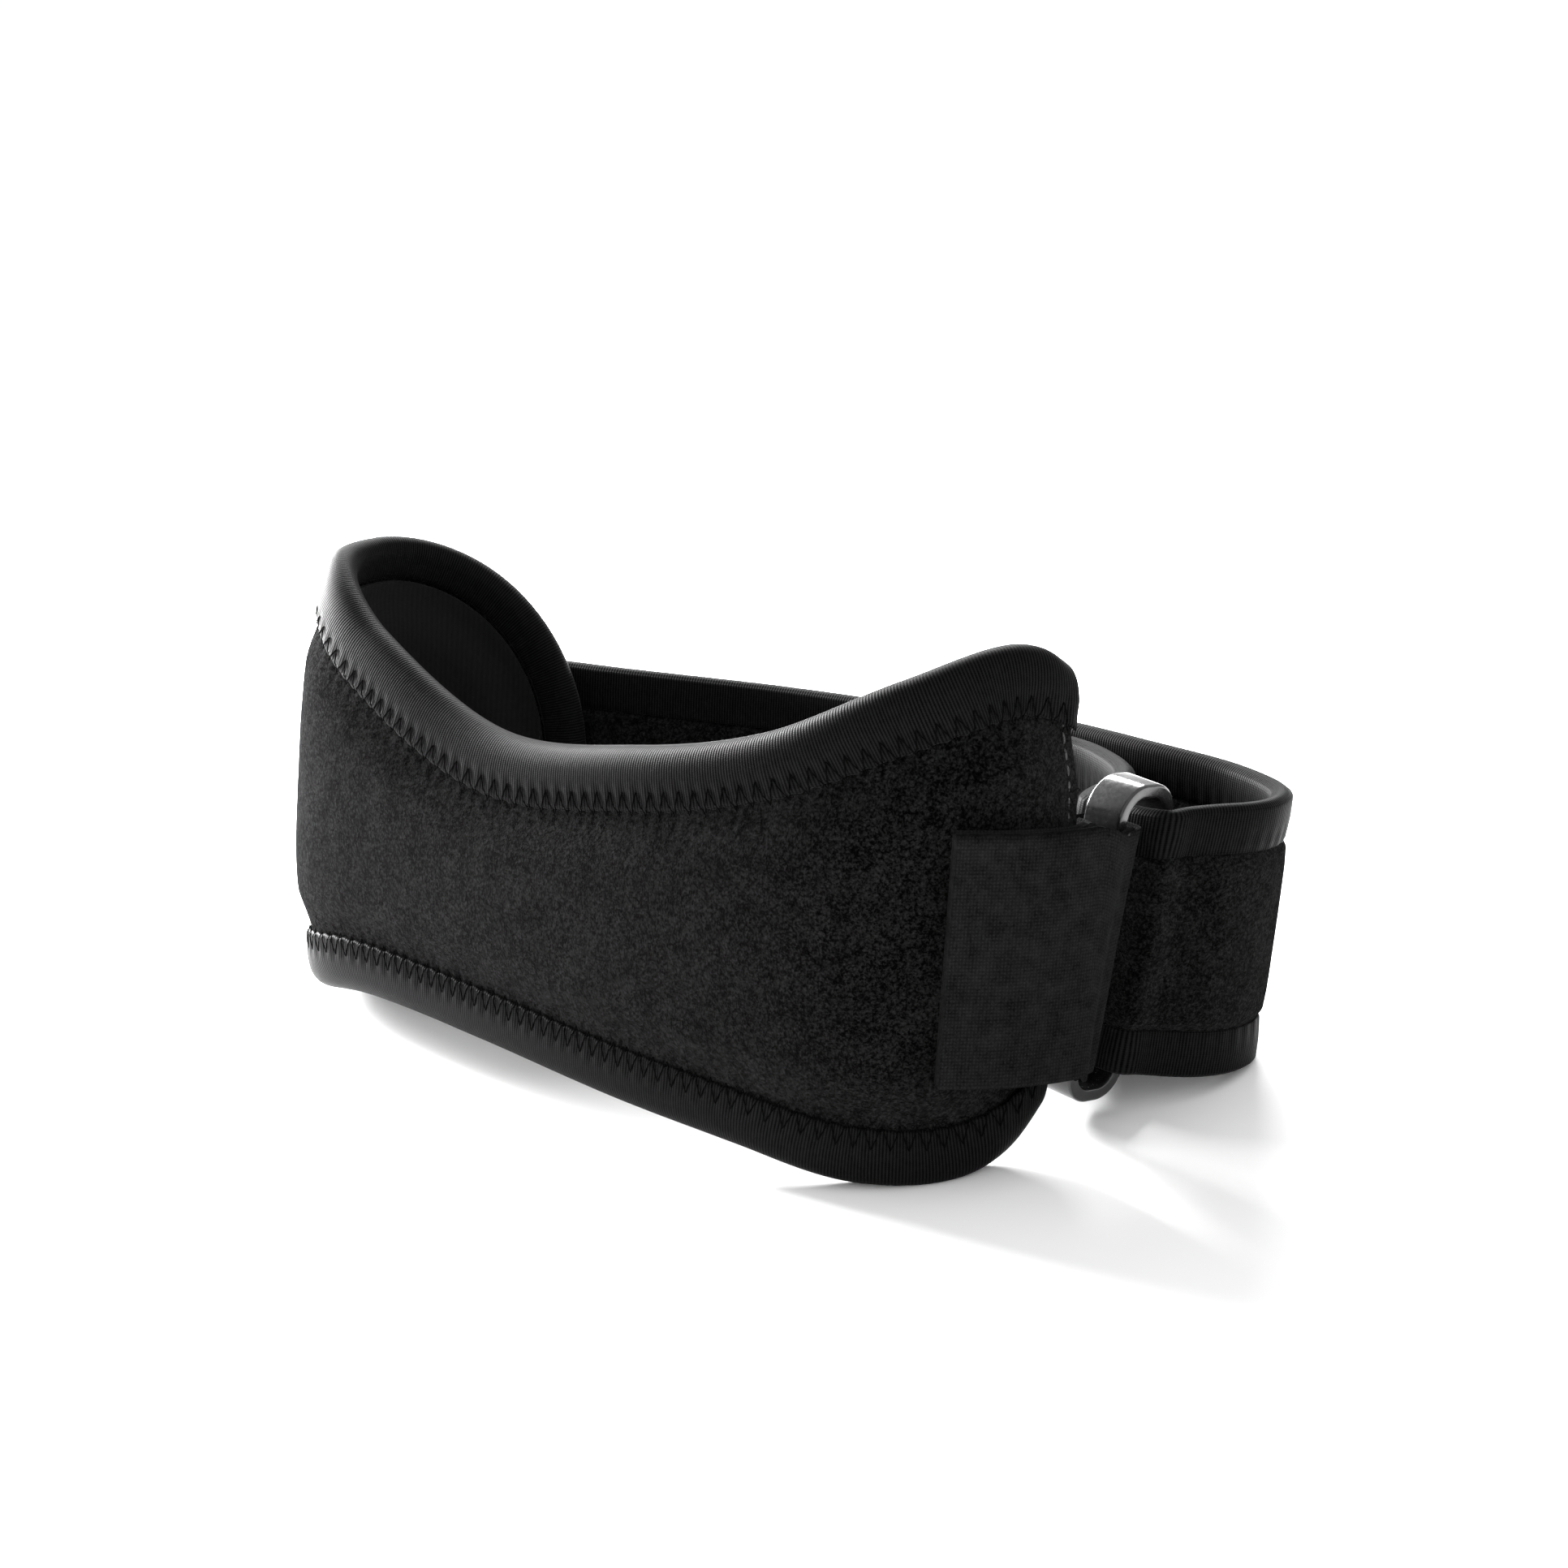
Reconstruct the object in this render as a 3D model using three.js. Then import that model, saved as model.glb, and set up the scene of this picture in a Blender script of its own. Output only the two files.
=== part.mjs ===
// Patella strap: a padded band that is worn below the kneecap. Its strap runs through a
// slide ring at the pad's right end and fastens back on itself behind the knee.
// Millimetres. The pieces are laid out upright in the worn frame, where x runs to the
// viewer's right, y away from the viewer and z up, and where the pad's right end is the
// origin. The group then leans the whole band back, as it rests on a floor.
import * as THREE from "three";

const degree = Math.PI / 180;
const clearance = 0.3; // between neighbouring pieces
const foldGap = 0.5; // between an edge and the tape folded over it

// Sizes of the pad
const padLength = 233;
const wingHeight = 96;
const padThickness = 7.4;
const padMargin = 3.6; // thickness of the edge that the binding squeezes
const padBow = 3.8; // how far the middle bulges out past the bound edges
const padBowReach = 32; // distance from the edge where the bulge is full
const padPuff = 9; // distance from the binding where the padding is full
const cutEndShare = 0.7; // of its thickness that is left at the cut right end
const lobeLength = 44; // rounded rear end, half an ellipse
const padSteps = 32; // along the straight part of its length
const lobeSteps = 12;
const liningThickness = 1;

// Sizes of the tape that binds the pad's edge
const bindingThickness = 1;
const bindingFace = 11; // how far it reaches in over the outer face
const bindingBack = 8; // how far it reaches in over the lining

// Sizes of the strap and the tape that binds its two edges
const strapWidth = 50;
const strapThickness = 4;
const strapMargin = 1.8;
const strapBinding = 0.8;
const strapBindingFace = 9;
const strapHeight = 40; // of its centre line above the pad's lower edge
const sewnLength = 34; // stretch that is sewn to the rear lobe
const rearBulge = 7.5;
const returnLength = 47; // from the ring back to where the strap leaves its tail
const slackReach = 34; // of the loop of slack at the right
const overlapLength = 38; // stretch of the tail that lies on the strap
const tailLead = 5; // between where the strap turns in and where its tail lies on it
const leanFade = 3.2; // ring widths from the ring at which its lean has faded out
const strapStations = 72;

// Sizes of the slide ring, a flat band bent to an upright loop
const ringHeight = 58;
const ringWidth = 15;
const ringBand = 2.5;
const ringDepth = 8;
const ringBevel = 0.5;
const ringHeading = 45 * degree;
const ringLean = 6 * degree;
const ringOffset = 17.5; // beyond the pad's right end
const ringCorner = 6.3; // radius of its rounded corners
const ringCentre = 41.5;

// Sizes of the tab that ties the ring to the pad and of the fastener under the tail
const tabHeight = 44;
const tabCentre = 44.5;
const tabThickness = 1.4;
const tabSeam = 20;
const tabStations = 64;
const hookThickness = 1.2;
const hookLength = 28;
const hookWidth = 38;

// Where the lower edges touch the floor, as shares of the pad's and the strap's length
const standing = { leftWing: 0.845, rightWing: 0.075, strap: 0.77 };
const flattened = 0.8; // depth to which soft edges give there

// Direction in which the pad runs in plan, from its right end round to the rear lobe.
const padCourse = [
  { share: 0, heading: 221 },
  { share: 0.1, heading: 181 },
  { share: 0.2, heading: 150 },
  { share: 0.3, heading: 141 },
  { share: 0.4, heading: 137 },
  { share: 0.5, heading: 135 },
  { share: 0.6, heading: 134 },
  { share: 0.7, heading: 119 },
  { share: 0.8, heading: 51 },
  { share: 0.9, heading: -4 },
  { share: 1, heading: -24 },
];

// Lower and upper edge of the pad as shares of the wing height.
const padOutline = [
  { share: 0, lower: 0.142, upper: 0.965 },
  { share: 0.02, lower: 0.082, upper: 0.993 },
  { share: 0.05, lower: 0.038, upper: 1 },
  { share: 0.125, lower: 0.015, upper: 0.93 },
  { share: 0.225, lower: 0.04, upper: 0.806 },
  { share: 0.35, lower: 0.053, upper: 0.723 },
  { share: 0.5, lower: 0.067, upper: 0.68 },
  { share: 0.65, lower: 0.062, upper: 0.8 },
  { share: 0.74, lower: 0.018, upper: 0.905 },
  { share: 0.82, lower: 0.006, upper: 0.925 },
];

// Height of the strap's centre line and its width, as shares, along its length.
const strapCourse = [
  { share: 0, rise: -0.05, width: 1 },
  { share: 0.2, rise: -0.03, width: 1 },
  { share: 0.42, rise: 0.02, width: 1 },
  { share: 0.52, rise: 0.03, width: 1 },
  { share: 0.6, rise: 0.01, width: 0.94 },
  { share: 0.66, rise: 0, width: 1 },
  { share: 0.74, rise: 0.03, width: 1.02 },
  { share: 0.84, rise: 0.045, width: 1.02 },
  { share: 1, rise: 0.03, width: 1 },
];

// Loop of slack from the ring round to the tail, as shares of the slack's reach.
const slackLoop = [
  { across: 0.6, away: 0.08 },
  { across: 0.78, away: 0.23 },
  { across: 0.88, away: 0.48 },
  { across: 0.72, away: 0.85 },
  { across: 0.27, away: 1.3 },
];

// The strap's way back to the ring, as shares of the length of that stretch.
const strapReturn = [
  { across: -0.055, away: 1 },
  { across: 0.02, away: 0.8 },
  { across: 0.035, away: 0.5 },
];

// Ways round a limb of the ring. A knot lies across from the limb's side nearest the pad
// by shares of the limb's band and of the clear way round it, and through the ring by
// shares of half its depth and of that way.
const strapTurn = [
  { band: 0, side: -1.52, depth: -2.5, past: 0 },
  { band: 0, side: -1.17, depth: -1, past: 0 },
  { band: 0, side: -1.09, depth: 0.62, past: 0 },
  { band: 0, side: -0.62, depth: 1, past: 0.9 },
  { band: 0, side: 0.9, depth: 1, past: 1.5 },
];
const tabTurn = [
  { band: 0, side: -3.3, depth: 0.75, past: 0 },
  { band: 0, side: -1.15, depth: -0.62, past: 0 },
  { band: 0, side: -0.75, depth: -1, past: -0.75 },
  { band: 0.5, side: 0, depth: -1, past: -1.08 },
  { band: 1, side: 0.75, depth: -1, past: -0.75 },
  { band: 1, side: 1.08, depth: -0.7, past: 0 },
  { band: 1, side: 1.08, depth: 0.75, past: 0 },
  { band: 1, side: 0.6, depth: 1, past: 1 },
  { band: 0, side: -0.38, depth: 1, past: 1.77 },
];

// Smooth value of a table's column at a share, through every row.
function columnAt(table, column, share) {
  let upper = 1;
  while (upper < table.length - 1 && share > table[upper].share) upper += 1;
  const slope = (i) =>
    (table[i][column] - table[i - 1][column]) / (table[i].share - table[i - 1].share);
  const span = table[upper].share - table[upper - 1].share;
  const here = slope(upper);
  const before = upper > 1 ? (slope(upper - 1) + here) / 2 : here;
  const after = upper < table.length - 1 ? (here + slope(upper + 1)) / 2 : here;
  const t = (share - table[upper - 1].share) / span;
  const start = table[upper - 1][column];
  const end = table[upper][column];
  return (
    start * (2 * t ** 3 - 3 * t ** 2 + 1) +
    before * span * (t ** 3 - 2 * t ** 2 + t) +
    end * (3 * t ** 2 - 2 * t ** 3) +
    after * span * (t ** 3 - t ** 2)
  );
}

// A plan path as a fine polyline that gives a place and the normal to its left.
class PlanPath {
  constructor(points) {
    this.points = points;
    this.lengths = [0];
    for (let i = 1; i < points.length; i += 1) {
      this.lengths.push(this.lengths[i - 1] + points[i].distanceTo(points[i - 1]));
    }
    this.length = this.lengths[points.length - 1];
  }

  // A length before the start or past the end carries on straight.
  at(length, offset = 0) {
    let i = 1;
    while (i < this.points.length - 1 && length > this.lengths[i]) i += 1;
    const from = this.points[i - 1];
    const to = this.points[i];
    const share = (length - this.lengths[i - 1]) / (this.lengths[i] - this.lengths[i - 1]);
    const turn = this.normal(i - 1).lerp(this.normal(i), THREE.MathUtils.clamp(share, 0, 1));
    return from.clone().lerp(to, share).addScaledVector(turn.normalize(), offset);
  }

  normal(i) {
    const before = this.points[Math.max(0, i - 1)];
    const after = this.points[Math.min(this.points.length - 1, i + 1)];
    const along = after.clone().sub(before).normalize();
    return new THREE.Vector2(-along.y, along.x);
  }
}

function smoothPath(points, samples) {
  const knots = points.map((p) => new THREE.Vector3(p.x, p.y, 0));
  const curve = new THREE.CatmullRomCurve3(knots, false, "centripetal");
  return new PlanPath(curve.getSpacedPoints(samples).map((p) => new THREE.Vector2(p.x, p.y)));
}

// Pad layout: its plan, and its outline in the flat

function padPath() {
  const steps = 240;
  const step = padLength / steps;
  const points = [new THREE.Vector2(0, 0)];
  for (let i = 0; i < steps; i += 1) {
    const heading = columnAt(padCourse, "heading", (i + 0.5) / steps) * degree;
    const last = points[i];
    points.push(
      new THREE.Vector2(last.x + step * Math.cos(heading), last.y + step * Math.sin(heading)),
    );
  }
  return new PlanPath(points);
}

const lobeStart = padLength - lobeLength;

// Lower and upper edge at a length along the pad, drawn in by an inset.
function padEdges(length, inset = 0) {
  const share = Math.min(length, lobeStart) / padLength;
  const edge = (column, at) => wingHeight * columnAt(padOutline, column, at);
  const nudge = 0.001;
  const squared = (column) => {
    const rise = edge(column, share + nudge) - edge(column, share - nudge);
    return inset * Math.hypot(1, length < lobeStart ? rise / (2 * nudge * padLength) : 0);
  };
  let lower = edge("lower", share) + squared("lower");
  let upper = edge("upper", share) - squared("upper");
  if (length > lobeStart) {
    const out = Math.min(1, (length - lobeStart) / (lobeLength - inset));
    const middle = (lower + upper) / 2;
    const half = ((upper - lower) / 2) * Math.sqrt(1 - out ** 2);
    lower = middle - half;
    upper = middle + half;
  }
  return { lower, upper };
}

// The bound edge in the flat: along the top, round the lobe and back along the bottom.
function padRim() {
  const rim = [];
  for (let i = 0; i < padSteps; i += 1) {
    const length = (lobeStart * i) / padSteps;
    rim.push(new THREE.Vector2(length, padEdges(length).upper));
  }
  const end = padEdges(lobeStart);
  const middle = (end.lower + end.upper) / 2;
  const half = (end.upper - end.lower) / 2;
  for (let i = 0; i <= lobeSteps; i += 1) {
    const turn = (0.5 - i / lobeSteps) * Math.PI;
    rim.push(
      new THREE.Vector2(lobeStart + lobeLength * Math.cos(turn), middle + half * Math.sin(turn)),
    );
  }
  for (let i = padSteps - 1; i >= 0; i -= 1) {
    const length = (lobeStart * i) / padSteps;
    rim.push(new THREE.Vector2(length, padEdges(length).lower));
  }
  return rim;
}

const padPlan = padPath();
const rim = padRim();

function distanceToRim(length, height) {
  let nearest = Infinity;
  for (let i = 1; i < rim.length; i += 1) {
    const along = rim[i].clone().sub(rim[i - 1]);
    const to = new THREE.Vector2(length, height).sub(rim[i - 1]);
    const share = THREE.MathUtils.clamp(to.dot(along) / along.lengthSq(), 0, 1);
    nearest = Math.min(nearest, to.addScaledVector(along, -share).length());
  }
  return nearest;
}

const bowAt = (depth) => padBow * Math.sin(Math.min(1, depth / padBowReach) * 0.5 * Math.PI);

// Radius of the round edge inside the fold of the binding.
const foldRadius = padMargin / 2 + foldGap + bindingThickness;

// Half the pad's thickness at a distance in from the rim.
function padHalf(depth) {
  const margin = padMargin / 2;
  if (depth < foldRadius) {
    const back = Math.min(0.95, (foldRadius - depth) / margin);
    return margin * Math.sqrt(1 - back ** 2);
  }
  const puff = THREE.MathUtils.smoothstep(depth, bindingFace, bindingFace + padPuff);
  return margin + (padThickness / 2 - margin) * puff;
}

// Place of a point of the pad's flat layout, a given way out from its middle surface.
function onPad(length, height, depth, out) {
  const p = padPlan.at(length, bowAt(depth) + out);
  return new THREE.Vector3(p.x, p.y, height);
}

// Solids

// Closed solid from stations, each with the same number of points on two faces.
function bandSolid(stations) {
  const perFace = stations[0].front.length;
  const ring = perFace * 2;
  const positions = [];
  for (const { front, back } of stations) {
    for (const p of [...front, ...back.toReversed()]) positions.push(p.x, p.y, p.z);
  }
  const index = [];
  const quad = (a, b, c, d) => index.push(a, b, c, a, c, d);
  for (let s = 0; s + 1 < stations.length; s += 1) {
    for (let i = 0; i < ring; i += 1) {
      const next = (i + 1) % ring;
      quad(s * ring + i, s * ring + next, (s + 1) * ring + next, (s + 1) * ring + i);
    }
  }
  const last = (stations.length - 1) * ring;
  for (let i = 0; i + 1 < perFace; i += 1) {
    const opposite = ring - 1 - i;
    quad(i, opposite, opposite - 1, i + 1);
    quad(last + i, last + i + 1, last + opposite - 1, last + opposite);
  }
  const geometry = new THREE.BufferGeometry();
  geometry.setAttribute("position", new THREE.Float32BufferAttribute(positions, 3));
  geometry.setIndex(signedVolume(positions, index) < 0 ? index.toReversed() : index);
  return geometry;
}

function signedVolume(positions, index) {
  const corner = (i) => new THREE.Vector3().fromArray(positions, 3 * index[i]);
  let volume = 0;
  for (let i = 0; i < index.length; i += 3) {
    volume += corner(i).dot(corner(i + 1).cross(corner(i + 2))) / 6;
  }
  return volume;
}

// Lengths along the pad for a sheet that ends short of the lobe's tip by an inset.
function padLengths(start, inset) {
  const lengths = [start];
  for (let i = 1; i < padSteps; i += 1) {
    lengths.push((lobeStart * i) / padSteps);
  }
  const steepest = 78 * degree;
  const onLobe = lobeSteps / 2;
  for (let i = 0; i <= onLobe; i += 1) {
    lengths.push(lobeStart + (lobeLength - inset) * Math.sin((steepest * i) / onLobe));
  }
  return lengths;
}

// Heights across the pad, closer together towards both edges.
function padHeights(length, inset, rows) {
  const { lower, upper } = padEdges(length, inset);
  const heights = [];
  for (let i = 0; i <= rows; i += 1) {
    const share = (1 - Math.cos((Math.PI * i) / rows)) / 2;
    heights.push(lower + (upper - lower) * share);
  }
  return heights;
}

// Cloth and foam of the pad, thinned at its cut right end.
function padShell() {
  const inset = bindingThickness + 1.6 * foldGap;
  const stations = padLengths(0, inset).map((length) => {
    const full = THREE.MathUtils.smoothstep(length, 0, padThickness);
    const taper = cutEndShare + (1 - cutEndShare) * full;
    const front = [];
    const back = [];
    for (const height of padHeights(length, inset, 12)) {
      const depth = distanceToRim(length, height);
      front.push(onPad(length, height, depth, padHalf(depth) * taper));
      back.push(onPad(length, height, depth, -padHalf(depth) * taper));
    }
    return { front, back };
  });
  return bandSolid(stations);
}

// Smooth sheet on the inner face, between the backs of the binding.
function padLining() {
  const inset = bindingBack + 2 * clearance;
  const stations = padLengths(clearance, inset).map((length) => {
    const front = [];
    const back = [];
    for (const height of padHeights(length, inset, 8)) {
      const depth = distanceToRim(length, height);
      const seat = -padHalf(depth) - 2 * clearance;
      front.push(onPad(length, height, depth, seat));
      back.push(onPad(length, height, depth, seat - liningThickness));
    }
    return { front, back };
  });
  return bandSolid(stations);
}

// Tape folded over the rim from the top corner round the lobe to the bottom corner.
function padBinding() {
  const hollow = padMargin / 2 + foldGap;
  const folds = 3;
  const stations = rim.map((point, i) => {
    const before = rim[Math.max(0, i - 1)];
    const after = rim[Math.min(rim.length - 1, i + 1)];
    const along = after.clone().sub(before).normalize();
    const square = new THREE.Vector2(along.y, -along.x);
    const upright = new THREE.Vector2(0, Math.sign(square.y));
    const inward = upright.lerp(square, THREE.MathUtils.smoothstep(point.x, 0, bindingFace * 2));
    inward.normalize();
    const place = (depth, out) => {
      const flat = point.clone().addScaledVector(inward, depth);
      return onPad(flat.x, flat.y, depth, out);
    };
    const front = [place(bindingFace, hollow + bindingThickness / 2)];
    const back = [place(bindingFace, hollow)];
    const bulge = foldRadius + (bindingFace - foldRadius) * 0.5;
    front.push(place(bulge, foldRadius));
    back.push(place(bulge, hollow));
    for (let k = 0; k <= folds; k += 1) {
      const turn = (0.5 - k / folds) * Math.PI;
      front.push(place(foldRadius * (1 - Math.cos(turn)), foldRadius * Math.sin(turn)));
      back.push(place(foldRadius - hollow * Math.cos(turn), hollow * Math.sin(turn)));
    }
    front.push(place(bindingBack, -foldRadius));
    back.push(place(bindingBack, -hollow));
    return { front, back };
  });
  return bandSolid(stations);
}

// Ring frame: u runs along the ring from the tab's limb to the strap's limb, w outwards.
const ringU = new THREE.Vector2(Math.cos(ringHeading), Math.sin(ringHeading));
const ringW = new THREE.Vector2(ringU.y, -ringU.x);
const ringPlan = ringU.clone().multiplyScalar(ringOffset);

function fromRing(u, w) {
  return ringPlan.clone().addScaledVector(ringU, u).addScaledVector(ringW, w);
}

// Places on a way round a limb of the ring whose side nearest the pad is at u.
function roundLimb(way, u, reach) {
  return way.map(({ band, side, depth, past }) =>
    fromRing(u + band * ringBand + side * reach, (depth * ringDepth) / 2 + past * reach),
  );
}

// Sideways lean of whatever passes through the ring, which fades out round it.
function leanWithRing(point, hold) {
  point.x += hold * Math.tan(ringLean) * (point.z - ringCentre);
  return point;
}

function slideRing() {
  const outline = (width, height, radius) => {
    const x = width / 2;
    const y = height / 2;
    const shape = new THREE.Path();
    shape.moveTo(x, y - radius);
    shape.absarc(x - radius, y - radius, radius, 0, Math.PI / 2);
    shape.absarc(radius - x, y - radius, radius, Math.PI / 2, Math.PI);
    shape.absarc(radius - x, radius - y, radius, Math.PI, 1.5 * Math.PI);
    shape.absarc(x - radius, radius - y, radius, 1.5 * Math.PI, 2 * Math.PI);
    return shape.getPoints(5).slice(0, -1);
  };
  const grow = -2 * ringBevel;
  const shape = new THREE.Shape(
    outline(ringWidth + grow, ringHeight + grow, ringCorner - ringBevel),
  );
  const bore = outline(
    ringWidth - 2 * ringBand - grow,
    ringHeight - 2 * ringBand - grow,
    ringCorner - ringBand + ringBevel,
  );
  shape.holes.push(new THREE.Path(bore.toReversed()));
  const geometry = new THREE.ExtrudeGeometry(shape, {
    depth: ringDepth - 2 * ringBevel,
    bevelEnabled: true,
    bevelThickness: ringBevel,
    bevelSize: ringBevel,
    bevelSegments: 1,
  });
  geometry.translate(0, 0, ringBevel - ringDepth / 2);
  return geometry;
}

// Strap layout

const layerPitch = strapThickness + hookThickness + 2 * clearance;

function strapPath() {
  const besideRing = (step, reach) =>
    ringPlan.clone().add(new THREE.Vector2(step.across, step.away).multiplyScalar(reach));
  const seat = padBow + padThickness / 2 + 2 * clearance + strapThickness / 2;
  const onWing = [1, 0.8, 0.6, 0.4, 0.2, 0.02].map((share) =>
    padPlan.at(padLength - sewnLength * share, seat),
  );
  const leave = onWing[onWing.length - 1];
  const back = strapReturn.map((step) => besideRing(step, returnLength));
  const turnIn = back[0];
  const chord = turnIn.clone().sub(leave);
  const aside = new THREE.Vector2(-chord.y, chord.x).normalize();
  const rear = [0.33, 0.58, 0.82].map((share) =>
    leave
      .clone()
      .addScaledVector(chord, share)
      .addScaledVector(aside, 4 * rearBulge * share * (1 - share)),
  );
  const reach = strapThickness / 2 + clearance;
  const through = roundLimb(strapTurn, ringWidth / 2 - ringBand, reach);
  const inbound = [...onWing, ...rear, ...back, ...through];
  const samples = 300;
  const main = smoothPath(inbound, samples);
  let fork = 0;
  while (main.points[fork].distanceTo(turnIn) > main.length / samples) fork += 1;
  const end = main.lengths[fork] - tailLead;
  const slack = slackLoop.map((step) => besideRing(step, slackReach));
  const tail = [0.1, 0.4, 0.7, 1].map((share) =>
    main.at(end - overlapLength * share, layerPitch),
  );
  return {
    path: smoothPath([...inbound, ...slack, ...tail], 3 * samples),
    overlap: { path: main, end },
  };
}

const strap = strapPath();

// Place on the strap, at a share of its length, a height share of half its width, and a way out.
function onStrap(share, up, out) {
  const plan = strap.path.at(strap.path.length * share, out);
  const middle = strapHeight * (1 + columnAt(strapCourse, "rise", share));
  const half = (strapWidth / 2) * columnAt(strapCourse, "width", share);
  const away = strap.path.at(strap.path.length * share).distanceTo(ringPlan);
  const hold = 1 - THREE.MathUtils.smoothstep(away, ringWidth, ringWidth * leanFade);
  const lift = (ringCentre - middle) * hold;
  return leanWithRing(new THREE.Vector3(plan.x, plan.y, middle + lift + half * up), hold);
}

// Stations are closer together where the strap turns round the ring and at the slack.
function strapShares() {
  const fine = 600;
  const atRing = 5;
  const nearRing = 1.6;
  const weights = [0];
  for (let i = 1; i <= fine; i += 1) {
    const here = strap.path.at((strap.path.length * i) / fine);
    const away = here.distanceTo(fromRing(0, ringDepth / 2));
    const nearby = away < ringWidth * 3 ? nearRing : 1;
    weights.push(weights[i - 1] + (away < ringWidth ? atRing : nearby));
  }
  const shares = [];
  for (let i = 0; i <= strapStations; i += 1) {
    const aim = (weights[fine] * i) / strapStations;
    shares.push(weights.findIndex((weight) => weight >= aim) / fine);
  }
  return shares;
}

// Cloth of the strap, thinned under the bindings.
function strapBody() {
  const half = strapWidth / 2;
  const edge = 1 - (strapBinding + 1.5 * clearance) / half;
  const fold = 1 - (strapBinding + strapMargin / 2 + clearance) / half;
  const seam = 1 - strapBindingFace / half;
  const rows = [
    { up: -edge, out: strapMargin / 5 },
    { up: -fold, out: strapMargin / 2 },
    { up: -seam - 0.02, out: strapMargin / 2 },
    { up: -seam + 0.06, out: strapThickness / 2 },
    { up: 0, out: strapThickness / 2 },
    { up: seam - 0.06, out: strapThickness / 2 },
    { up: seam + 0.02, out: strapMargin / 2 },
    { up: fold, out: strapMargin / 2 },
    { up: edge, out: strapMargin / 5 },
  ];
  const stations = strapShares().map((share) => ({
    front: rows.map(({ up, out }) => onStrap(share, up, out)),
    back: rows.map(({ up, out }) => onStrap(share, up, -out)),
  }));
  return bandSolid(stations);
}

// Tape folded over one edge of the strap; side is 1 for the top and -1 for the bottom.
function strapEdging(side) {
  const half = strapWidth / 2;
  const hollow = strapMargin / 2 + clearance;
  const skin = hollow + strapBinding;
  const inFrom = (depth) => 1 - depth / half;
  const tip = inFrom(strapBindingFace - clearance);
  const outer = [
    { up: tip, out: skin },
    { up: inFrom(skin), out: skin },
    { up: inFrom(0.3 * skin), out: 0.72 * skin },
    { up: 1, out: 0 },
  ];
  const inner = [
    { up: tip, out: hollow },
    { up: inFrom(skin), out: hollow },
    { up: inFrom(0.62 * skin), out: 0.8 * hollow },
    { up: inFrom(strapBinding), out: 0 },
  ];
  const roundEdge = (rows, share) => {
    const far = rows.slice(0, -1).toReversed();
    return [
      ...rows.map(({ up, out }) => onStrap(share, side * up, out)),
      ...far.map(({ up, out }) => onStrap(share, side * up, -out)),
    ];
  };
  const stations = strapShares().map((share) => ({
    front: roundEdge(outer, share),
    back: roundEdge(inner, share),
  }));
  return bandSolid(stations);
}

// Tab and fastener

// Tape sewn flat on the pad, led round the ring's near limb and back to the same seam.
function ringTab() {
  const half = tabThickness / 2;
  const onFace = padBow + padThickness / 2 + clearance + half;
  const overFace = onFace + tabThickness + clearance;
  const reach = half + 2 * clearance;
  const seam = (share, out) => padPlan.at(tabSeam * share, out);
  const knots = [
    ...[1, 0.5, 0.06].map((share) => seam(share, onFace)),
    ...roundLimb(tabTurn, -ringWidth / 2, reach),
    seam(-0.15, overFace + clearance),
    seam(0.45, overFace + clearance / 3),
    seam(1, overFace),
  ];
  const path = smoothPath(knots, 300);
  const stations = [];
  for (let i = 0; i <= tabStations; i += 1) {
    const length = (path.length * i) / tabStations;
    const beyond = path.at(length).dot(ringU);
    const hold = THREE.MathUtils.smoothstep(beyond, 0, ringOffset - ringWidth / 2 - ringBand);
    const place = (up, out) => {
      const plan = path.at(length, out);
      const middle = tabCentre + (ringCentre - tabCentre) * hold;
      return leanWithRing(new THREE.Vector3(plan.x, plan.y, middle + (up * tabHeight) / 2), hold);
    };
    stations.push({
      front: [-1, 0, 1].map((up) => place(up, half)),
      back: [-1, 0, 1].map((up) => place(up, -half)),
    });
  }
  return bandSolid(stations);
}

// Hook patch between the strap and its tail.
function hookPatch() {
  const { path, end } = strap.overlap;
  const near = strapThickness / 2 + clearance;
  const start = end - (overlapLength + hookLength) / 2;
  const stations = [];
  const steps = 8;
  for (let i = 0; i <= steps; i += 1) {
    const length = start + (hookLength * i) / steps;
    const place = (up, out) => {
      const plan = path.at(length, out);
      return new THREE.Vector3(plan.x, plan.y, strapHeight + (up * hookWidth) / 2);
    };
    stations.push({
      front: [-1, 1].map((up) => place(up, near + hookThickness)),
      back: [-1, 1].map((up) => place(up, near)),
    });
  }
  return bandSolid(stations);
}

// Materials

const cloth = (color, roughness) =>
  new THREE.MeshStandardMaterial({ color, roughness, metalness: 0 });
const padCloth = cloth("#1b1b1c", 0.95);
const liningCloth = cloth("#141415", 0.8);
const ribbedTape = cloth("#242425", 0.7);
const wovenTape = cloth("#232323", 0.85);
const hookPlastic = cloth("#101010", 0.6);
const ringLacquer = new THREE.MeshStandardMaterial({
  color: "#1a1a1b",
  roughness: 0.25,
  metalness: 0.6,
});

function piece(name, geometry, material) {
  const mesh = new THREE.Mesh(geometry, material);
  mesh.name = name;
  return mesh;
}

// Rest: three feet carry the band, one under each wing and one under the strap

const leftFoot = padLength * standing.leftWing;
const rightFoot = padLength * standing.rightWing;
const feet = {
  leftWing: onPad(leftFoot, padEdges(leftFoot).lower, 0, 0),
  rightWing: onPad(rightFoot, padEdges(rightFoot).lower, 0, 0),
  strap: onStrap(standing.strap, -1, 0),
};
const floor = new THREE.Plane().setFromCoplanarPoints(feet.leftWing, feet.rightWing, feet.strap);
if (floor.normal.z < 0) floor.negate();
floor.constant -= flattened;

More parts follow.
